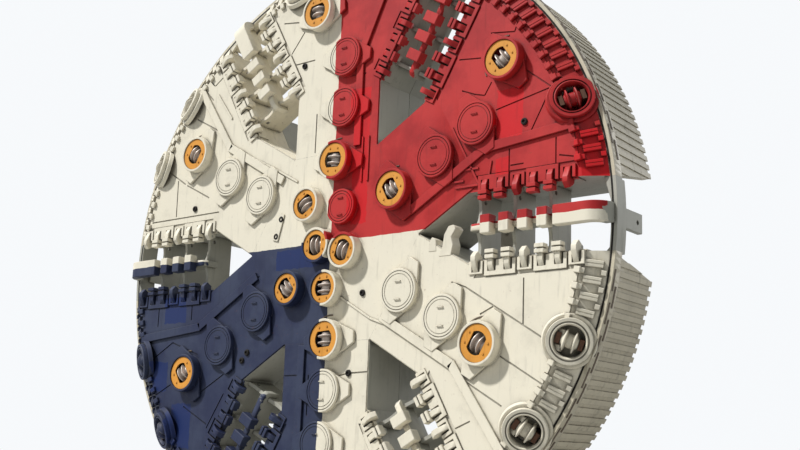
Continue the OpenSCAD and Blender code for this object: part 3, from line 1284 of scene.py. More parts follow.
    def cutters(self, arm: int | None) -> Piece:
        """Makes what is cut out of one plate: its seams, the pockets and the notches at its outer edge.

        Args:
            arm: Angle of the arm, or None for the centre block.

        Returns:
            One piece that holds all the cutters.
        """
        y = self.shop.head.face_y + self.thickness
        deep = 3 * self.thickness
        pieces = [Workshop.bar(seam, y, self.seam_w, deep, 0.0) for seam in self.SEAMS.get(arm, ())]
        for seat in read_seats("face_housings"):
            distance = math.hypot(seat.x, seat.z)
            if arm is None:
                here = distance < self.centre_reach
            else:
                here = distance > self.arm_start and apart(seat.radial, arm) < self.arm_reach
            if here:
                pieces.append(Workshop.rod(self.pocket_r, deep, (seat.x, y - deep / 2, seat.z), "Y", 48))
        if arm is not None:
            low = (self.outer_r - self.notch_l, -deep, -self.notch_w / 2)
            notch = Workshop.block(low, (self.outer_r + self.notch_l, 0, self.notch_w / 2), 0.0)
            lift = Matrix.Translation((0, y, 0))
            pieces.append(Workshop.copies(notch, [lift @ about_axis(arm + angle) for angle in self.notches]))
        return Workshop.join(pieces)

    def build(self) -> None:
        """Builds the plates of the six arms and of the centre block."""
        front = Matrix.Translation((0, self.shop.head.face_y, 0))
        for arm in (*ARMS, None):
            plate = self.hexagon() if arm is None else self.sector(arm)
            plate.data.transform(front)
            Workshop.extrude(plate, (0, -self.thickness, 0))
            Workshop.cut(plate, self.cutters(arm))
            self.shop.finish(plate, f"face_plate_{arm or 'centre'}", "plate_paint", "white_paint")
        self.add_teeth()

    def add_teeth(self) -> None:
        """Adds the small blocks that stand in the notches at the face's outer edge."""
        start = self.outer_r - self.notch_l
        tooth = Workshop.block((start, -self.tooth_h, -self.tooth_w / 2),
                               (start + self.tooth_l, self.tooth_sink, self.tooth_w / 2), self.tooth_edge)
        places = [on_face(self.shop.head, 0, 0, arm + angle) for arm in ARMS for angle in self.notches]
        self.shop.finish(Workshop.copies(tooth, places), "edge_teeth", "plate_paint", "white_paint")


@dataclass(frozen=True)
class Seat:
    """The place and size of one round seat on the cutting face."""

    x: float
    z: float
    radius: float

    # The seats near the axis have a smaller radius than this
    LIMIT: ClassVar[float] = 0.42

    @property
    def small(self) -> bool:
        """Whether this is one of the small seats."""
        return self.radius < self.LIMIT

    @property
    def radial(self) -> float:
        """Direction away from the head's axis."""
        return math.degrees(math.atan2(self.z, self.x))


def read_seats(node: str) -> list[Seat]:
    """Reads the places of a node's round solids."""
    return [Seat((low.x + high.x) / 2, (low.z + high.z) / 2, (high.x - low.x) / 2)
            for low, high in solid_boxes(node)]


@dataclass
class Housings:
    """The round housings of the face cutters, their amber guard plates and the blank covers."""

    shop: Workshop
    housing_r: float = 0.43
    small_r: float = 0.385
    housing_h: float = 0.264
    seat_h: float = 0.212
    bore_r: float = 0.292
    lip_w: float = 0.055
    lip_edge: float = 0.006
    edge: float = 0.01
    chamfer: float = 0.004
    guard_gap: float = 0.004
    guard_top: float = 0.238
    open_r: float = 0.232
    open_half: float = 0.168
    guard_bolt: tuple[float, float] = (0.017, 0.018)
    bolt_angle: float = 24.0
    wedge_l: float = 0.70
    wedge_in: float = 0.97
    wedge_tip: float = 0.24
    wedge_h: float = 0.09
    wedge_edge: float = 0.008
    foot: float = 0.022
    foot_in: float = 0.012
    foot_h: tuple[float, float] = (0.014, 0.03)
    cover_r: float = 0.45
    small_cover_r: float = 0.383
    cover_h: float = 0.158
    disc_gap: float = 0.058
    gap_edge: float = 0.013
    gap_depth: float = 0.035
    ring_start: float = 0.045
    ring_end: float = 0.063
    ring_depth: float = 0.008
    ring_slant: float = 0.003
    weld_r: float = 0.53
    weld_half: float = 0.017
    weld_h: float = 0.016
    weld_y: float = 0.019
    handle_l: float = 0.15
    handle_t: float = 0.018
    handle_h: float = 0.034
    handle_edge: float = 0.003
    handle_out: float = 0.185

    def wedges(self, radius: float) -> Piece:
        """Makes the low wedges on either side of a seat, across the radius.

        Args:
            radius: Radius of the seat.

        Returns:
            Both wedges as one piece.
        """
        side = math.acos(radius / self.wedge_l)
        x, z = self.wedge_in * radius * math.sin(side), self.wedge_in * radius * math.cos(side)
        half = self.wedge_tip / 2
        points = [(half, self.wedge_l), (x, z), (x, -z), (half, -self.wedge_l)]
        points += [(-u, v) for u, v in reversed(points)]
        return Workshop.outline(points, -self.wedge_h, SINK, bevel=self.wedge_edge)

    def seated(self, outer: float, start: float, top: Sequence[Point], small: bool) -> Piece:
        """Turns a round piece with a weld foot, and adds its wedges unless it is a small one.

        Args:
            outer: Radius of its side.
            start: Radius at which its underside starts.
            top: Points of its profile from the side's upper end on.
            small: Whether it is a small one.

        Returns:
            The piece at the origin.
        """
        foot = [(start, -SINK), (outer + self.foot, -SINK), (outer + self.foot_in, self.foot_h[0]),
                (outer, self.foot_h[1])]
        body = Workshop.turned([*foot, *top], ROUND_STEPS)
        return body if small else Workshop.join([body, self.wedges(outer)])

    def housing(self, small: bool) -> Piece:
        """Makes one housing with its lip.

        Args:
            small: Whether it is a small one.

        Returns:
            The housing at the origin.
        """
        outer = self.small_r if small else self.housing_r
        inner, top = outer - self.lip_w, self.housing_h
        return self.seated(outer, self.bore_r, [
            (outer, top - self.edge), (outer - self.edge, top), (inner + self.lip_edge, top),
            (inner, top - self.lip_edge), (inner, self.seat_h), (self.bore_r, self.seat_h)], small)

    def cover(self, small: bool) -> Piece:
        """Makes one blank cover: a rim, a gap and a disc with a ring groove.

        Args:
            small: Whether it is a small one.

        Returns:
            The cover at the origin.
        """
        outer = self.small_cover_r if small else self.cover_r
        disc, top = outer - self.disc_gap, self.cover_h
        gap, floor = disc + self.gap_edge, top - self.gap_depth
        ring_out, ring_in, ring_y = disc - self.ring_start, disc - self.ring_end, top - self.ring_depth
        return self.seated(outer, 0.0, [
            (outer, top - self.edge), (outer - self.edge, top), (gap + self.ring_slant, top),
            (gap, top - self.chamfer), (gap, floor), (disc, floor), (disc, top - self.lip_edge),
            (disc - self.lip_edge, top), (ring_out, top), (ring_out - self.ring_slant, ring_y),
            (ring_in + self.ring_slant, ring_y), (ring_in, top), (0.0, top)], small)

    def guard(self, small: bool) -> Piece:
        """Makes one guard plate with the opening that the discs stand in, and its bolts.

        Args:
            small: Whether it is a small one.

        Returns:
            The guard plate at the origin.
        """
        outer = (self.small_r if small else self.housing_r) - self.lip_w - self.guard_gap
        low, top = self.seat_h - OVERLAP, self.guard_top
        plate = Workshop.turned([
            (0.0, low), (outer, low), (outer, top - self.chamfer), (outer - self.chamfer, top),
            (0.0, top)], ROUND_STEPS)
        corner = math.degrees(math.acos(self.open_half / self.open_r))
        points = [point for start in (0, 180)
                  for point in curve((0, 0), self.open_r, start + corner, start + 180 - corner, 10)]
        Workshop.cut(plate, Workshop.outline(points, -2 * top, -top / 2))
        middle = (outer + self.open_half) / 2
        angles = [math.radians(side + turn * self.bolt_angle) for side in (0, 180) for turn in (-1, 1)]
        places = [Matrix.Translation((middle * math.cos(a), -top, middle * math.sin(a))) for a in angles]
        return Workshop.join([plate, Workshop.copies(Workshop.bolt(*self.guard_bolt), places)])

    def handle(self) -> Piece:
        """Makes one staple handle that stands on a cover.

        Returns:
            The handle at the origin.
        """
        half, bar, out = self.handle_l / 2, self.handle_t, self.handle_h
        points = [(-half, SINK), (-half, -out), (half, -out), (half, SINK),
                  (half - bar, SINK), (half - bar, bar - out), (bar - half, bar - out), (bar - half, SINK)]
        return Workshop.outline(points, -bar / 2, bar / 2, "Z", self.handle_edge)

    def weld(self) -> Piece:
        """Makes the weld arc that lies round the upper left of a seat.

        Returns:
            The arc at the origin.
        """
        wide, narrow, low = self.weld_half, self.weld_half / 2, self.weld_y
        profile = [(self.weld_r - wide, low), (self.weld_r + wide, low),
                   (self.weld_r + narrow, low + self.weld_h), (self.weld_r - narrow, low + self.weld_h)]
        return Workshop.arc(profile, 85, 120, 20)

    def spread(self, make: Callable[[bool], Piece], seats: Sequence[Seat]) -> Piece:
        """Makes the two sizes of a piece and copies each to its seats.

        Args:
            make: Makes the piece, given whether it is the small one.
            seats: All the seats.

        Returns:
            All the copies, joined.
        """
        sizes = []
        for small in (False, True):
            places = [on_face(self.shop.head, s.x, s.z, s.radial) for s in seats if s.small == small]
            sizes.append(Workshop.copies(make(small), places))
        return Workshop.join(sizes)

    def build(self) -> None:
        """Builds every housing, guard plate and cover in place of its node, with handles and welds."""
        shop, seats, covers = self.shop, read_seats("face_housings"), read_seats("blank_covers")
        for make, where, name, paint, slot, node in (
                (self.housing, seats, "cutter_housings", "plate_paint", "white_paint", "face_housings"),
                (self.guard, seats, "guard_plates", "amber_paint", "amber_paint", "guard_rings"),
                (self.cover, covers, "covers", "plate_paint", "white_paint", "blank_covers")):
            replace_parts(shop.finish(self.spread(make, where), name, paint, slot), node)
        lift = Matrix.Translation((0, -self.cover_h, 0))
        places = [on_face(shop.head, s.x, s.z + side * self.handle_out) @ lift
                  for s in covers for side in (-1, 1)]
        shop.finish(Workshop.copies(self.handle(), places), "cover_handles", "plate_paint", "white_paint")
        places = [on_face(shop.head, s.x, s.z) for s in seats if not s.small]
        shop.finish(Workshop.copies(self.weld(), places), "housing_welds", "weld", "cutter_steel")


@dataclass
class GaugeHousings:
    """The dished housings of the gauge cutters on the bevel."""

    shop: Workshop
    middle_r: float = 6.32
    top: float = 0.15
    sink: float = 0.05
    bore_r: float = 0.292
    outer_r: float = 0.43
    edge: float = 0.01
    edge_h: float = 0.012
    collar_r: float = 0.50
    collar_h: float = 0.045
    collar_foot: float = 0.02

    # The ring's top from the outside in, with a groove: radius and depth below the top
    TOP = ((0.366, 0.0), (0.362, 0.03), (0.342, 0.03), (0.338, 0.004), (0.33, 0.0), (0.318, 0.0))

    def build(self, angles: Sequence[float]) -> None:
        """Builds the housings.

        Args:
            angles: Angles of the gauge cutters.
        """
        head, top, inner, collar_r = self.shop.head, self.top, self.outer_r - self.edge, self.collar_r
        ring = Workshop.turned([
            (self.bore_r, -self.sink), (self.outer_r, -self.sink), (self.outer_r, top - self.edge_h),
            (inner, top), *((radius, top - depth) for radius, depth in self.TOP),
            (self.bore_r, top - self.sink)], ROUND_STEPS)
        collar = Workshop.turned([
            (inner, -self.sink), (collar_r + self.collar_foot, -self.sink),
            (collar_r, self.collar_h - self.edge), (collar_r - self.edge_h, self.collar_h),
            (inner, self.collar_h)], ROUND_STEPS)
        slope = (self.middle_r - head.bevel_in_r) / math.cos(head.bevel_angle)
        places = [on_bevel(head, angle, slope) for angle in angles]
        piece = Workshop.copies(Workshop.join([ring, collar]), places)
        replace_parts(self.shop.finish(piece, "gauge_rings", "plate_paint", "white_paint"), "gauge_housings")


@dataclass
class Cutters:
    """The twin disc cutters, which turn on their own shafts."""

    shop: Workshop
    face_half: float = 0.070
    gauge_half: float = 0.092
    disc_r: float = 0.216
    edge: float = 0.011

    # The shaft's end and the hub's domed side: radius and distance from the middle
    SHAFT = ((0.0, 0.26), (0.056, 0.26), (0.062, 0.254), (0.062, 0.17))
    HUB = ((0.082, 0.168), (0.112, 0.160), (0.120, 0.150), (0.132, 0.140))
    # A disc's roots on the outer and the inner side: radius and distance from the disc's middle
    ROOT_OUT = ((0.135, 0.042), (0.150, 0.034))
    ROOT_IN = ((0.150, 0.030), (0.134, 0.036))
    # The rounded edge of a disc: how far below its radius and past its flank
    EDGE = ((0.011, 0.003), (0.002, 0.0), (0.0, -0.004))

    def rotor(self, half: float) -> Piece:
        """Turns the hub, its shaft ends and the two discs from one profile.

        Args:
            half: Distance of each disc from the rotor's middle.

        Returns:
            The rotor about X, at the origin.
        """
        edge = [(self.disc_r - below, self.edge + past) for below, past in self.EDGE]
        side = [
            *((radius, -x) for radius, x in (*self.SHAFT, *self.HUB)),
            *((radius, -half - x) for radius, x in (*self.ROOT_OUT, *edge)),
            *((radius, x - half) for radius, x in (*reversed(edge), *self.ROOT_IN))]
        return Workshop.turned([*side, *((radius, -x) for radius, x in reversed(side))], 48, "X")

    def build(self, joints: Sequence[dict]) -> None:
        """Puts a rotor on each cutter's own body.

        Args:
            joints: The frame's joints.
        """
        patterns = {"face": self.rotor(self.face_half), "gauge": self.rotor(self.gauge_half)}
        for joint in joints:
            node = joint["child"]
            kind = node.split("_")[0]
            turn = Vector((1, 0, 0)).rotation_difference(Vector(joint["axis"])).to_matrix().to_4x4()
            copy = Workshop.twin(patterns[kind], Matrix.Translation(joint["pos_m"]) @ turn)
            paint = "cutter_steel" if kind == "face" else "gauge_cutter_paint"
            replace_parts(self.shop.finish(copy, node + "_rotor", paint, "cutter_steel", node), node)
        for pattern in patterns.values():
            bpy.data.objects.remove(pattern)


@dataclass(frozen=True)
class SlotPlan:
    """Where the ribs, the block teeth and the scrapers of one slot lie, in distances from the axis."""

    angle: int
    first_rib: float
    first_block: float
    shift: float = 0.0


SLOT_PLANS = (
    SlotPlan(0, 3.70, 4.11, -0.19), SlotPlan(60, 4.08, 4.42), SlotPlan(120, 4.08, 4.42),
    SlotPlan(180, 4.09, 4.42), SlotPlan(240, 3.65, 4.27), SlotPlan(300, 3.95, 4.29),
)


@dataclass
class ScraperRows:
    """The raised plates along the slots' edges, with their scrapers."""

    shop: Workshop
    count: int = 7
    start: float = 3.84
    pitch: float = 0.372
    plate_start: float = 3.625
    plate_t: float = 0.05
    plate_w: float = 0.30
    plate_edge: float = 0.005
    hood_plate_w: float = 0.25
    hood_half: float = 0.165
    gap: float = 0.014
    notch_half: float = 0.095
    notch_l: float = 0.21
    play: float = 0.006
    shank_half: float = 0.06
    shank_h: float = 0.105
    shank_edge: float = 0.006
    reach: float = 0.20
    heel: float = 0.11
    tip_half: float = 0.105
    tip_h: float = 0.15
    tip_l: float = 0.08
    tip_gap: float = 0.024
    tip_edge: float = 0.009
    tip_past: float = 0.02
    tip_sink: float = 0.01
    hood_edge: float = 0.008
    floor_depth: float = 0.006
    rail_in: float = 0.004
    rail_t: float = 0.025
    rail_depth: float = 0.31

    def notched(self, spots: Sequence[float], half: float, width: float) -> Piece:
        """Makes a plate with a notch at each scraper on it.

        Args:
            spots: Places of the scrapers.
            half: Distance from an outer scraper to the plate's end.
            width: Width of the plate.

        Returns:
            The plate.
        """
        notch, far = self.notch_half, self.notch_l
        start, end = spots[0] - half, spots[-1] + half
        points = [(start, 0.0)]
        for x in spots:
            points += [(x - notch, 0.0), (x - notch, far), (x + notch, far), (x + notch, 0.0)]
        points += [(end, 0.0), (end, width), (start, width)]
        return Workshop.outline(points, -self.plate_t, OVERLAP, bevel=self.plate_edge)

    def shank(self, x: float, top: Sequence[Point], front: float, edge: float) -> Piece:
        """Makes the body of a scraper, from the back of its notch to the heel below the face.

        Args:
            x: Place of the scraper.
            top: Points of its profile between its back and its heel.
            front: How far its heel reaches into the slot.
            edge: Width of its bevelled edges.

        Returns:
            The body.
        """
        back = self.notch_l + self.play
        profile = [
            (0.0, back), (-self.plate_t, back), *top, (self.heel, -front), (self.heel, 0.0), (0.0, 0.0)]
        return Workshop.outline(profile, x - self.shank_half, x + self.shank_half, "X", edge)

    def wide(self, x: float) -> list[Piece]:
        """Makes a scraper with a tip of two bars.

        Args:
            x: Its place.

        Returns:
            Its body and the two bars.
        """
        front = self.reach - self.tip_past
        top = [(-self.shank_h, self.notch_l / 2), (-self.shank_h, -front)]
        pieces = [self.shank(x, top, front, self.shank_edge)]
        for start in (-self.reach, self.tip_l + self.tip_gap - self.reach):
            pieces.append(Workshop.block((x - self.tip_half, -self.tip_h, start),
                                         (x + self.tip_half, self.tip_sink, start + self.tip_l),
                                         self.tip_edge))
        return pieces

    def hooded(self, x: float) -> list[Piece]:
        """Makes a narrow scraper, drawn to a point, with its own plate.

        Args:
            x: Its place.

        Returns:
            The scraper and the plate.
        """
        middle = self.reach / 2
        top = [(-self.tip_h, 0.0), (-self.tip_h, -middle), (-self.shank_h / 2, -self.reach)]
        return [self.shank(x, top, middle, self.hood_edge),
                self.notched([x], self.hood_half, self.hood_plate_w)]

    def row(self, shift: float) -> list[Piece]:
        """Makes the row on a slot's edge towards +Z, with that edge on the plane z = 0.

        Args:
            shift: How far the scrapers lie further out.

        Returns:
            The row, and the dark floors of its pockets, which are painted shade and grime.
        """
        places = {i: self.start + shift + i * self.pitch for i in range(self.count)}
        places = {i: x for i, x in places.items() if x - self.notch_half > self.plate_start}
        pieces, floors = [], []
        for i, x in places.items():
            # A dark olive floor in each notch stands for the shade of a deep pocket, and its grime
            floors.append(Workshop.block((x - self.notch_half, -self.floor_depth, 0.0),
                                         (x + self.notch_half, OVERLAP, self.notch_l), 0.0))
            pieces += self.wide(x) if i % 3 else self.hooded(x)
            if i % 3 == 1:
                pieces.append(self.notched([x, x + self.pitch], self.pitch / 2 - self.gap, self.plate_w))
        first = min(places.values()) - self.pitch / 2
        last = max(places.values()) + self.pitch / 2
        pieces.append(Workshop.block((first, self.rail_in, -self.rail_t), (last, self.rail_depth, 0.0)))
        return [Workshop.join(pieces), Workshop.join(floors)]

    def build(self) -> None:
        """Builds the rows on both edges of every slot."""
        head = self.shop.head
        edge = Matrix.Translation((0, head.face_y, head.slot_half))
        shifts = sorted({plan.shift for plan in SLOT_PLANS})
        rows = {shift: self.row(shift) for shift in shifts}
        made: list[Piece] = []
        for kind in (0, 1):
            for shift in shifts:
                rows[shift][kind].data.transform(edge)
            other = Workshop.mirrored(rows[0.0][kind])
            sides = [Workshop.copies(other, [about_axis(plan.angle) for plan in SLOT_PLANS])]
            for shift in shifts:
                turns = [about_axis(plan.angle) for plan in SLOT_PLANS if plan.shift == shift]
                sides.append(Workshop.copies(rows[shift][kind], turns))
            made.append(Workshop.join(sides))
        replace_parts(self.shop.finish(made[0], "scrapers", "scraper_paint", "white_paint"), "scraper_rails")
        self.shop.finish(made[1], "scraper_pockets", "pocket", "cutter_steel")


@dataclass
class SlotFrames:
    """In each slot the middle bar with its block teeth, the cross ribs, the guard plate and the ring."""

    shop: Workshop
    bar_half: float = 0.065
    bar_ahead: float = 0.10
    bar_cut: float = 0.09
    bar_depth: float = 0.42
    bar_edge: float = 0.006
    guard_start: float = 5.62
    guard_in: float = 0.05
    guard_proud: float = 0.16
    guard_t: float = 0.19
    guard_half: float = 0.19
    block_pitch: float = 0.427
    block_l: float = 0.23
    block_half: float = 0.185
    block_h: float = 0.17
    block_sink: float = 0.06
    tooth_edge: float = 0.012
    rib_count: int = 3
    rib_pitch: float = 0.81
    rib_t: float = 0.08
    rib_depth: float = 0.75
    rib_setback: float = 0.15
    rib_gap: float = 0.001
    rib_edge: float = 0.005
    hollow_r: float = 0.60
    hollow_depth: float = 0.075
    hole_r: float = 0.045
    hole_in: float = 0.19
    hole_side: float = 0.15
    ring_t: float = 0.13
    ring_depth: float = 0.45
    strip_depth: float = 0.25
    step: float = 0.06
    overlap: float = 0.006
    gusset_t: float = 0.06
    gusset_edge: float = 0.004
    tail_in: float = 0.10
    tail_t: float = 0.11
    tail_l: float = 0.70
    tail_edge: float = 0.01

    # The gussets at the ring's ends: side, length along the ring and width into the slot
    GUSSETS = ((1, 0.47, 0.14), (-1, 0.10, 0.10))

    def bar(self, plan: SlotPlan) -> list[Piece]:
        """Makes the middle bar, its block teeth and the guard plate over its outer end.

        Args:
            plan: The slot's plan.

        Returns:
            The pieces, in a slot that points along +X.
        """
        head = self.shop.head
        y, start = head.face_y, plan.first_rib - self.bar_ahead
        front = y - self.guard_proud
        bend_r = head.rim_y - front
        bend = (head.rim_r - self.guard_in - bend_r, head.rim_y)
        inner = head.rim_r - self.ring_t + self.overlap
        core = [(start, y + self.bar_depth), (start, y + self.bar_cut), (start + self.bar_cut, y),
                (bend[0], y), *curve(bend, bend_r - self.guard_t / 2, -90, 0, 8),
                (inner, head.rim_y + OVERLAP), (inner, y + self.bar_depth)]
        guard = [(self.guard_start, front), *curve(bend, bend_r, -90, 0, 12),
                 *curve(bend, bend_r - self.guard_t, 0, -90, 12), (self.guard_start, front + self.guard_t)]
        pieces = [Workshop.outline(core, -self.bar_half, self.bar_half, "Z", self.bar_edge),
                  Workshop.outline(guard, -self.guard_half, self.guard_half, "Z", self.tooth_edge)]
        half = self.block_l / 2
        count = int((self.guard_start - plan.first_block - half) / self.block_pitch) + 1
        for x in (plan.first_block + i * self.block_pitch for i in range(count)):
            pieces.append(Workshop.block((x - half, y - self.block_h, -self.block_half),
                                         (x + half, y + self.block_sink, self.block_half), self.tooth_edge))
        return pieces

    def ribs(self, plan: SlotPlan) -> Piece:
        """Makes the cross ribs with their hollow front edges and their holes.

        Args:
            plan: The slot's plan.

        Returns:
            The ribs, in a slot that points along +X.
        """
        head = self.shop.head
        front, half = head.face_y + self.rib_setback, head.slot_half - self.rib_gap
        back = front + self.rib_depth
        middle = (head.slot_half + self.bar_half) / 2
        centre = front + self.hollow_depth - self.hollow_r
        chord = math.degrees(math.asin((front - centre) / self.hollow_r))
        hollows = [(centre + v, u) for side in (-middle, middle)
                   for u, v in curve((side, 0), self.hollow_r, 180 - chord, chord, 8)]
        points = [(front, -half), *hollows, (front, half), (back, half), (back, -half)]
        starts = [plan.first_rib + i * self.rib_pitch for i in range(self.rib_count)]
        ribs = Workshop.join([Workshop.outline(points, x, x + self.rib_t, "X", self.rib_edge)
                              for x in starts])
        span = self.rib_count * self.rib_pitch
        x, y, z = plan.first_rib + span / 2 - 0.1, front + self.hole_in, half - self.hole_side
        holes = [Workshop.rod(self.hole_r, span, (x, y, side * z), "X", 20) for side in (-1, 1)]
        Workshop.cut(ribs, Workshop.join(holes))
        return ribs

    def ring(self) -> list[Piece]:
        """Makes the piece of the front ring, its gussets and the tail plate behind it.

        Returns:
            The pieces, in a slot that points along +X.
        """
        head = self.shop.head
        half, y = head.slot_half, head.rim_y
        inner, outer = head.rim_r - self.ring_t, head.rim_r
        strip, low, back = -y - self.strip_depth, outer - self.step, -y - self.ring_depth
        profile = [(inner, -y), (outer, -y), (outer, strip), (low, strip), (low, back), (inner, back)]
        reach = math.degrees(math.asin(half / inner)) + 0.3
        ring = Workshop.arc(profile, -reach, 2 * reach)
        for side in (-1, 1):
            Workshop.halve(ring, (0, 0, side * half), (0, 0, side), True)
        gussets = []
        lap = inner + self.overlap
        for side, length, width in self.GUSSETS:
            end = side * (half - length)
            points = [(inner - width, side * half), (lap, side * half), (lap, end), (inner, end)]
            gussets.append(Workshop.outline(points, y + SINK, y + self.gusset_t, "Y", self.gusset_edge))
        far, back = outer - self.tail_in, y + self.ring_depth + self.tail_l
        tail = Workshop.block((far - self.tail_t, y + self.strip_depth, -self.guard_half),
                              (far, back, self.guard_half), self.tail_edge)
        hole = Workshop.rod(self.hole_r, 4 * self.tail_t, (far, back - self.guard_half, 0), "X", 24)
        Workshop.cut(tail, hole)
        return [ring, *gussets, tail]

    def build(self) -> None:
        """Builds the frames of all the slots."""
        for plan in SLOT_PLANS:
            piece = Workshop.join([*self.bar(plan), self.ribs(plan), *self.ring()])
            piece.data.transform(about_axis(plan.angle))
            piece = self.shop.finish(piece, f"muck_slot_{plan.angle}", "slot_paint", "grey_paint")
            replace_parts(piece, f"slot_frame_{plan.angle}")


@dataclass
class BevelBars:
    """The grooved wear bars and the small blocks on the bevel."""

    shop: Workshop
    step: float = 2.7
    bar_half: float = 0.065
    bar_l: float = 0.33
    bar_h: float = 0.065
    block: float = 0.095
    block_in: float = 0.018
    chamfer: float = 0.012
    sink: float = 0.006
    gauge_clear: float = 4.81

    def section(self, half: float, groove: bool) -> list[Point]:
        """Draws a chamfered section.

        Args:
            half: Half its width.
            groove: Whether it has a groove along its middle.

        Returns:
            Its points.
        """
        top, cut = -self.bar_h, self.chamfer
        middle = [(top, cut), (top + cut, 0.0), (top, -cut)] if groove else []
        return [(self.sink, -half), (self.sink, half), (top + cut, half), (top, half - cut), *middle,
                (top, cut - half), (top + cut, -half)]

    def build(self, gauge_angles: Sequence[float]) -> None:
        """Builds the bars and blocks of all six arms.

        Args:
            gauge_angles: Angles of the gauge cutters, beside which the bevel is bare.
        """
        head, slope = self.shop.head, self.shop.head.bevel_slope
        reach = HALF_ARM - math.degrees(math.asin((head.slot_half + 2 * self.bar_half) / head.bevel_in_r))
        last = int(reach / self.step)
        outer_start = slope - self.block - self.block_in
        made = []
        for half, start, length, groove in (
                (self.bar_half, (slope - self.bar_l) / 2, self.bar_l, True),
                (self.block / 2, 0.0, self.block, False), (self.block / 2, outer_start, self.block, False)):
            piece = Workshop.outline(self.section(half, groove), start, start + length, "X")
            steps = range(-last, last + 1) if groove else [i + 0.5 for i in range(-last, last)]
            angles = [arm + i * self.step for arm in ARMS for i in steps]
            free = [a for a in angles if min(apart(a, gauge) for gauge in gauge_angles) > self.gauge_clear]
            made.append(Workshop.copies(piece, [on_bevel(head, angle) for angle in free]))
        self.shop.finish(Workshop.join(made), "bevel_bars", "plate_paint", "white_paint")


@dataclass
class Rims:
    """The rim pieces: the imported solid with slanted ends, and ribs along its barrel."""

    shop: Workshop
    strip_depth: float = 0.25
    step: float = 0.06
    fall: float = 0.05
    rib_step: float = 1.6
    rib_half: float = 0.0525
    rib_h: float = 0.019
    rib_past: float = 0.06
    rib_lap: float = 0.004
    sink: float = 0.006
    end_in: float = 0.06
    end_past: float = 0.15
    end_side: float = 0.02
    end_r: tuple[float, float] = (6.2, 7.0)
    slant: float = 0.30

    def end_cut(self, end_y: float) -> Piece:
        """Makes what is cut from the barrel's end beside a slot, on the slot's side towards +Z.

        Args:
            end_y: Where the barrel ends.

        Returns:
            The piece, for a slot that points along +X.
        """
        head = self.shop.head
        start, far, edge = head.rim_y + self.strip_depth + self.sink, end_y + self.end_past, head.slot_half
        points = [(start, edge - self.end_side), (start, edge + self.end_in), (end_y, edge + self.slant),
                  (far, edge + self.slant), (far, edge - self.end_side)]
        return Workshop.outline(points, *self.end_r, "X")

    def build(self) -> None:
        """Builds the six pieces."""
        head = self.shop.head
        end_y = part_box("rim_90")[1].y
        start_y = head.rim_y + self.strip_depth
        length = end_y - start_y
        tilt = Matrix.Rotation(math.atan2(self.fall, length), 4, "Z")
        seat = Matrix.Translation((head.rim_r - self.step, start_y, 0)) @ tilt
        reach = math.degrees(math.asin((head.slot_half + 2 * self.rib_half) / head.rim_r))
        last = int((HALF_ARM - reach) / self.rib_step)
        for arm in ARMS:
            rib = Workshop.block((-self.sink, -self.rib_lap, -self.rib_half),
                                 (self.rib_h, length + self.rib_past, self.rib_half), 0.0)
            turns = [about_axis(arm + i * self.rib_step) for i in range(-last, last + 1)]
            ribs = Workshop.copies(rib, [turn @ seat for turn in turns])
            rim = Workshop.edit(Workshop.twin(bpy.data.objects[f"rim_{arm}"]), Workshop.merge)
            low = self.end_cut(end_y)
            high = Workshop.mirrored(low, about_axis(arm + HALF_ARM))
            low.data.transform(about_axis(arm - HALF_ARM))
            ends = Workshop.join([low, high])
            Workshop.cut(rim, Workshop.twin(ends))
            Workshop.cut(ribs, ends)
            piece = Workshop.join([rim, ribs])
            piece = self.shop.finish(piece, f"rim_piece_{arm}", "rim_paint", "white_paint")
            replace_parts(piece, f"rim_{arm}")


@dataclass
class RimTrim:
    """A near-black band of painted shade in the groove between bevel and rim, and raised weld-coloured
    dashes on the rim's smooth strip, partly welds and partly painted shade of its slots.
    """

    shop: Workshop
    groove_in: float = 0.005
    groove_out: float = 0.042
    groove_h: float = 0.004
    dash_l: float = 0.40
    dash_w: float = 0.045
    dash_h: float = 0.010
    dash_sink: float = 0.005
    dash_step: float = 5.2
    slot_clear: float = 7.9
    rows: tuple[float, float] = (0.07, 0.17)

    def build(self) -> None:
        """Builds the band of painted shade in the groove, and the dashes, on all six arms."""
        head = self.shop.head
        low, high = head.bevel_out_r + self.groove_in, head.bevel_out_r + self.groove_out
        back, top = -head.rim_y - OVERLAP, -head.rim_y + self.groove_h
        profile = [(low, back), (high, back), (high, top), (low, top)]
        # The groove's darkness is painted: a near-black band just proud of the rim
        groove = Workshop.arc(profile, -HALF_ARM, 2 * HALF_ARM, 96)
        groove = Workshop.copies(groove, [about_axis(arm) for arm in ARMS])
        self.shop.finish(groove, "rim_groove", "dark_gap", "cutter_steel")
        dashes = []
        # Weld-coloured dashes: welds, and painted shade in place of the strip's slots
        for row, depth in enumerate(self.rows):
            y = head.rim_y + depth
            dash = Workshop.block((head.rim_r - self.dash_sink, y - self.dash_w / 2, -self.dash_l / 2),
                                  (head.rim_r + self.dash_h, y + self.dash_w / 2, self.dash_l / 2))
            angles = [arm + (i + row / 2 - 0.25) * self.dash_step for arm in ARMS for i in range(-4, 5)]
            angles = [a for a in angles if min(apart(a, slot) for slot in SLOTS) > self.slot_clear]
            dashes.append(Workshop.copies(dash, [about_axis(angle) for angle in angles]))
        self.shop.finish(Workshop.join(dashes), "rim_dashes", "weld", "cutter_steel")


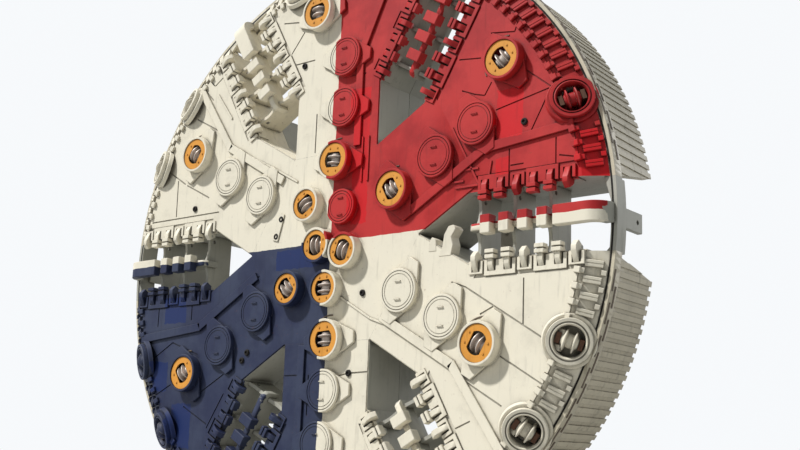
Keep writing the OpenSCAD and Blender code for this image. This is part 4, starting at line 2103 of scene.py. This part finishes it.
@dataclass
class FaceTrim:
    """The cover strips, thin bars and nozzles that stand on the cutting face."""

    shop: Workshop
    strip_w: float = 0.19
    strip_h: float = 0.055
    strip_edge: float = 0.008
    bar_w: float = 0.045
    bar_h: float = 0.03
    nozzle_r: float = 0.055
    plate_t: float = 0.02

    # The two lengths of an arm's cover strip, for an arm along +X: both ends as x, z, x, z
    STRIP = ((2.12, -0.655, 4.22, -0.655), (4.18, -0.635, 6.06, -1.50))
    # Thin bars, both ends as x, z, x, z, and the nozzles' places as x, z
    BARS = (
        (3.18, 2.10, 3.86, 0.85), (4.15, 1.28, 4.10, 1.00), (3.22, 0.95, 3.50, 0.95),
        (3.30, 0.83, 3.85, 0.83), (3.30, 1.17, 3.85, 1.17), (0.80, 1.30, 0.80, 2.30),
        (0.97, 1.30, 0.97, 2.30), (-3.90, 4.10, -3.35, 3.40), (-2.85, 2.46, -2.10, 2.10),
        (-2.10, 2.10, -1.07, 1.55), (0.27, -1.09, 1.20, -1.64), (1.20, -1.64, 2.50, -2.10),
    )
    NOZZLES = (
        (-1.05, 4.26), (-1.51, 0.74), (-4.44, 1.33), (-2.35, -2.20), (-2.50, -2.37), (0.97, -1.10),
        (-1.64, 0.36), (-2.40, -0.65), (0.68, -2.75), (4.90, 1.95),
    )
    # A nozzle's profile, a ring round its mouth: share of the radius, and height
    NOZZLE = ((0.0, 0.0), (1.3, 0.0), (1.25, 0.03), (1.0, 0.045), (0.62, 0.045), (0.5, 0.02), (0.0, 0.02))

    def build(self) -> None:
        """Builds the trim of the whole face."""
        head, low = self.shop.head, SINK - self.plate_t
        halves = [Workshop.bar(ends, low, self.strip_w, self.strip_h, self.strip_edge)
                  for ends in self.STRIP]
        strips = Workshop.copies(Workshop.join(halves), [on_face(head, 0, 0, arm) for arm in ARMS])
        self.shop.finish(strips, "cover_strips", "plate_paint", "white_paint")
        bars = [Workshop.bar(ends, head.face_y + low, self.bar_w, self.bar_h) for ends in self.BARS]
        self.shop.finish(Workshop.join(bars), "face_bars", "plate_paint", "white_paint")
        nozzle = Workshop.turned([(share * self.nozzle_r, height) for share, height in self.NOZZLE], 24)
        nozzle.data.transform(Matrix.Translation((0, low, 0)))
        nozzles = Workshop.copies(nozzle, [on_face(head, x, z) for x, z in self.NOZZLES])
        self.shop.finish(nozzles, "nozzles", "dark_gap", "cutter_steel")


@dataclass
class ArmRoots:
    """The deeper part of the arms around the centre block, with the side plates and ribs behind the arms."""

    shop: Workshop
    depth: float = 0.75
    outer_r: float = 4.70
    edge: float = 0.015
    plate_depth: float = 0.38
    plate_t: float = 0.06
    plate_in: float = 0.08
    plate_end: float = 6.17
    rib_angle: float = 15.5

    def plates(self) -> Piece:
        """Makes the plates along the slots' edges and the ribs between them, behind all the arms.

        Returns:
            All of them, joined.
        """
        head = self.shop.head
        low, high = head.back_y - SINK, head.back_y + self.plate_depth
        start, end, half = self.outer_r - self.plate_in, self.plate_end, self.plate_t / 2
        edge = Workshop.block((start, low, head.slot_half), (end, high, head.slot_half + self.plate_t))
        edges = [Workshop.mirrored(edge), edge]
        rib = Workshop.block((start, low, -half), (end, high, half))
        made = [Workshop.copies(piece, [about_axis(slot) for slot in SLOTS]) for piece in edges]
        turns = [about_axis(arm + side * self.rib_angle) for arm in ARMS for side in (-1, 1)]
        return Workshop.join([*made, Workshop.copies(rib, turns)])

    def build(self) -> None:
        """Builds the roots of the six arms and of the centre block, and the plates."""
        head = self.shop.head
        low, high = head.back_y - SINK, head.back_y + self.depth
        reach = HALF_ARM - math.degrees(math.asin(head.slot_half / self.outer_r))
        points = [(head.centre_u, -head.arm_half), (head.corner_u, -head.arm_half),
                  *curve((0, 0), self.outer_r, -reach, reach, 24),
                  (head.corner_u, head.arm_half), (head.centre_u, head.arm_half)]
        arm = Workshop.outline(points, low, high, bevel=self.edge)
        arms = Workshop.copies(arm, [about_axis(angle) for angle in ARMS])
        centre = Workshop.outline(curve((0, 0), head.centre_corner, 0, 300, 5), low, high)
        self.shop.finish(Workshop.join([arms, centre, self.plates()]), "arm_roots", "primer", "grey_paint")


@dataclass
class Brackets:
    """The bent brackets at the inner end of one level slot, and the slim plate beside the centre."""

    shop: Workshop
    depth: float = 0.24
    proud: float = 0.03
    edge: float = 0.012
    plate_w: float = 0.16
    plate_y: float = 0.018

    # Outlines of the two brackets as x, z, and the plate's ends as x, z, x, z
    BOOT = ((2.92, -0.52), (3.22, -0.52), (3.27, -0.30), (3.22, -0.14), (3.33, 0.02), (3.27, 0.10),
            (3.14, 0.08), (3.04, -0.08), (3.01, -0.30))
    PLATE = (-1.49, 0.86, -1.66, 0.26)
    CLIP = ((2.66, -0.40), (2.86, -0.40), (2.84, -0.16), (2.74, -0.10), (2.68, -0.18))

    def build(self) -> None:
        """Builds the brackets and the plate."""
        y = self.shop.head.face_y
        pieces = [Workshop.outline(points, y - self.proud, y + self.depth, bevel=self.edge)
                  for points in (self.BOOT, self.CLIP)]
        self.shop.finish(Workshop.join(pieces), "slot_brackets", "rear_paint", "white_paint")
        plate = Workshop.bar(self.PLATE, y - self.plate_y, self.plate_w, self.proud)
        self.shop.finish(plate, "nozzle_plate", "rear_paint", "white_paint")


@dataclass
class RearTrim:
    """The bolts in the drive flange and the weld beads where the legs meet the arms' roots."""

    shop: Workshop
    root_depth: float
    bolt_r: float = 0.052
    bolt_h: float = 0.05
    circle_r: float = 2.70
    bolt_count: int = 48
    leg_clear: float = 9.0
    flange_t: float = 0.25
    leg_half: float = 0.31
    foot_in: float = 3.30
    foot_out: float = 4.45
    flange_in: float = 2.35
    flange_out: float = 2.90
    bead: float = 0.045
    bead_edge: float = 0.014

    def build(self) -> None:
        """Builds the bolt heads on the flange's front side, and the beads on the arms' backs."""
        head, half = self.shop.head, self.leg_half
        bolt = Workshop.bolt(self.bolt_r, self.bolt_h)
        bolt.data.transform(Matrix.Translation((self.circle_r, -self.flange_t, 0)))
        angles = [(i + 0.5) * 360 / self.bolt_count for i in range(self.bolt_count)]
        free = [a for a in angles if min(apart(a, arm) for arm in ARMS) > self.leg_clear]
        places = [about_axis(angle) for angle in free]
        self.shop.finish(Workshop.copies(bolt, places), "flange_bolts", "bright_steel", "machined_steel")
        share = self.root_depth / (-self.flange_t - head.back_y)
        inner = self.foot_in + share * (self.flange_in - self.foot_in)
        outer = self.foot_out + share * (self.flange_out - self.foot_out)
        y = head.back_y + self.root_depth + self.bead / 2
        beads = Workshop.join([Workshop.bar(ends, y, self.bead, self.bead, self.bead_edge) for ends in (
            (inner, -half, outer, -half), (inner, half, outer, half), (outer, -half, outer, half),
            (inner, -half, inner, half))])
        beads = Workshop.copies(beads, [about_axis(arm) for arm in ARMS])
        self.shop.finish(beads, "leg_welds", "weld", "cutter_steel")


# The finish of each node, by the start of its name
NODE_PAINTS = {
    "centre_block": "face_paint", "arm": "face_paint", "rim": "rim_paint", "slot_frame": "slot_paint",
    "scraper_rails": "slot_paint", "face_housings": "plate_paint", "gauge_housings": "plate_paint",
    "guard_rings": "amber_paint", "blank_covers": "plate_paint", "cutter_posts": "saddle_paint",
    "legs": "rear_paint", "drive_flange": "bright_steel", "hub_drum": "primer", "mixing_bars": "rear_paint",
    "lifting_lugs": "rear_paint", "face_cutter": "cutter_steel", "gauge_cutter": "cutter_steel",
}


def main() -> None:
    """Builds the dressed head around the frame."""
    logging.basicConfig(level=logging.INFO, format="%(message)s")
    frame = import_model()
    Studio().build()
    shop = Workshop(read_head())
    for node in frame["nodes"]:
        paint = next(paint for start, paint in NODE_PAINTS.items() if node.startswith(start))
        shop.paint(bpy.data.objects[node], paint)
    joints = frame["joints"]
    gauge_angles = [math.degrees(math.atan2(joint["pos_m"][2], joint["pos_m"][0]))
                    for joint in joints if joint["child"].startswith("gauge")]
    FacePlates(shop).build()
    Housings(shop).build()
    GaugeHousings(shop).build(gauge_angles)
    Cutters(shop).build(joints)
    ScraperRows(shop).build()
    SlotFrames(shop).build()
    BevelBars(shop).build(gauge_angles)
    Rims(shop).build()
    RimTrim(shop).build()
    FaceTrim(shop).build()
    roots = ArmRoots(shop)
    roots.build()
    Brackets(shop).build()
    RearTrim(shop, roots.depth).build()


if __name__ == "__main__":
    main()
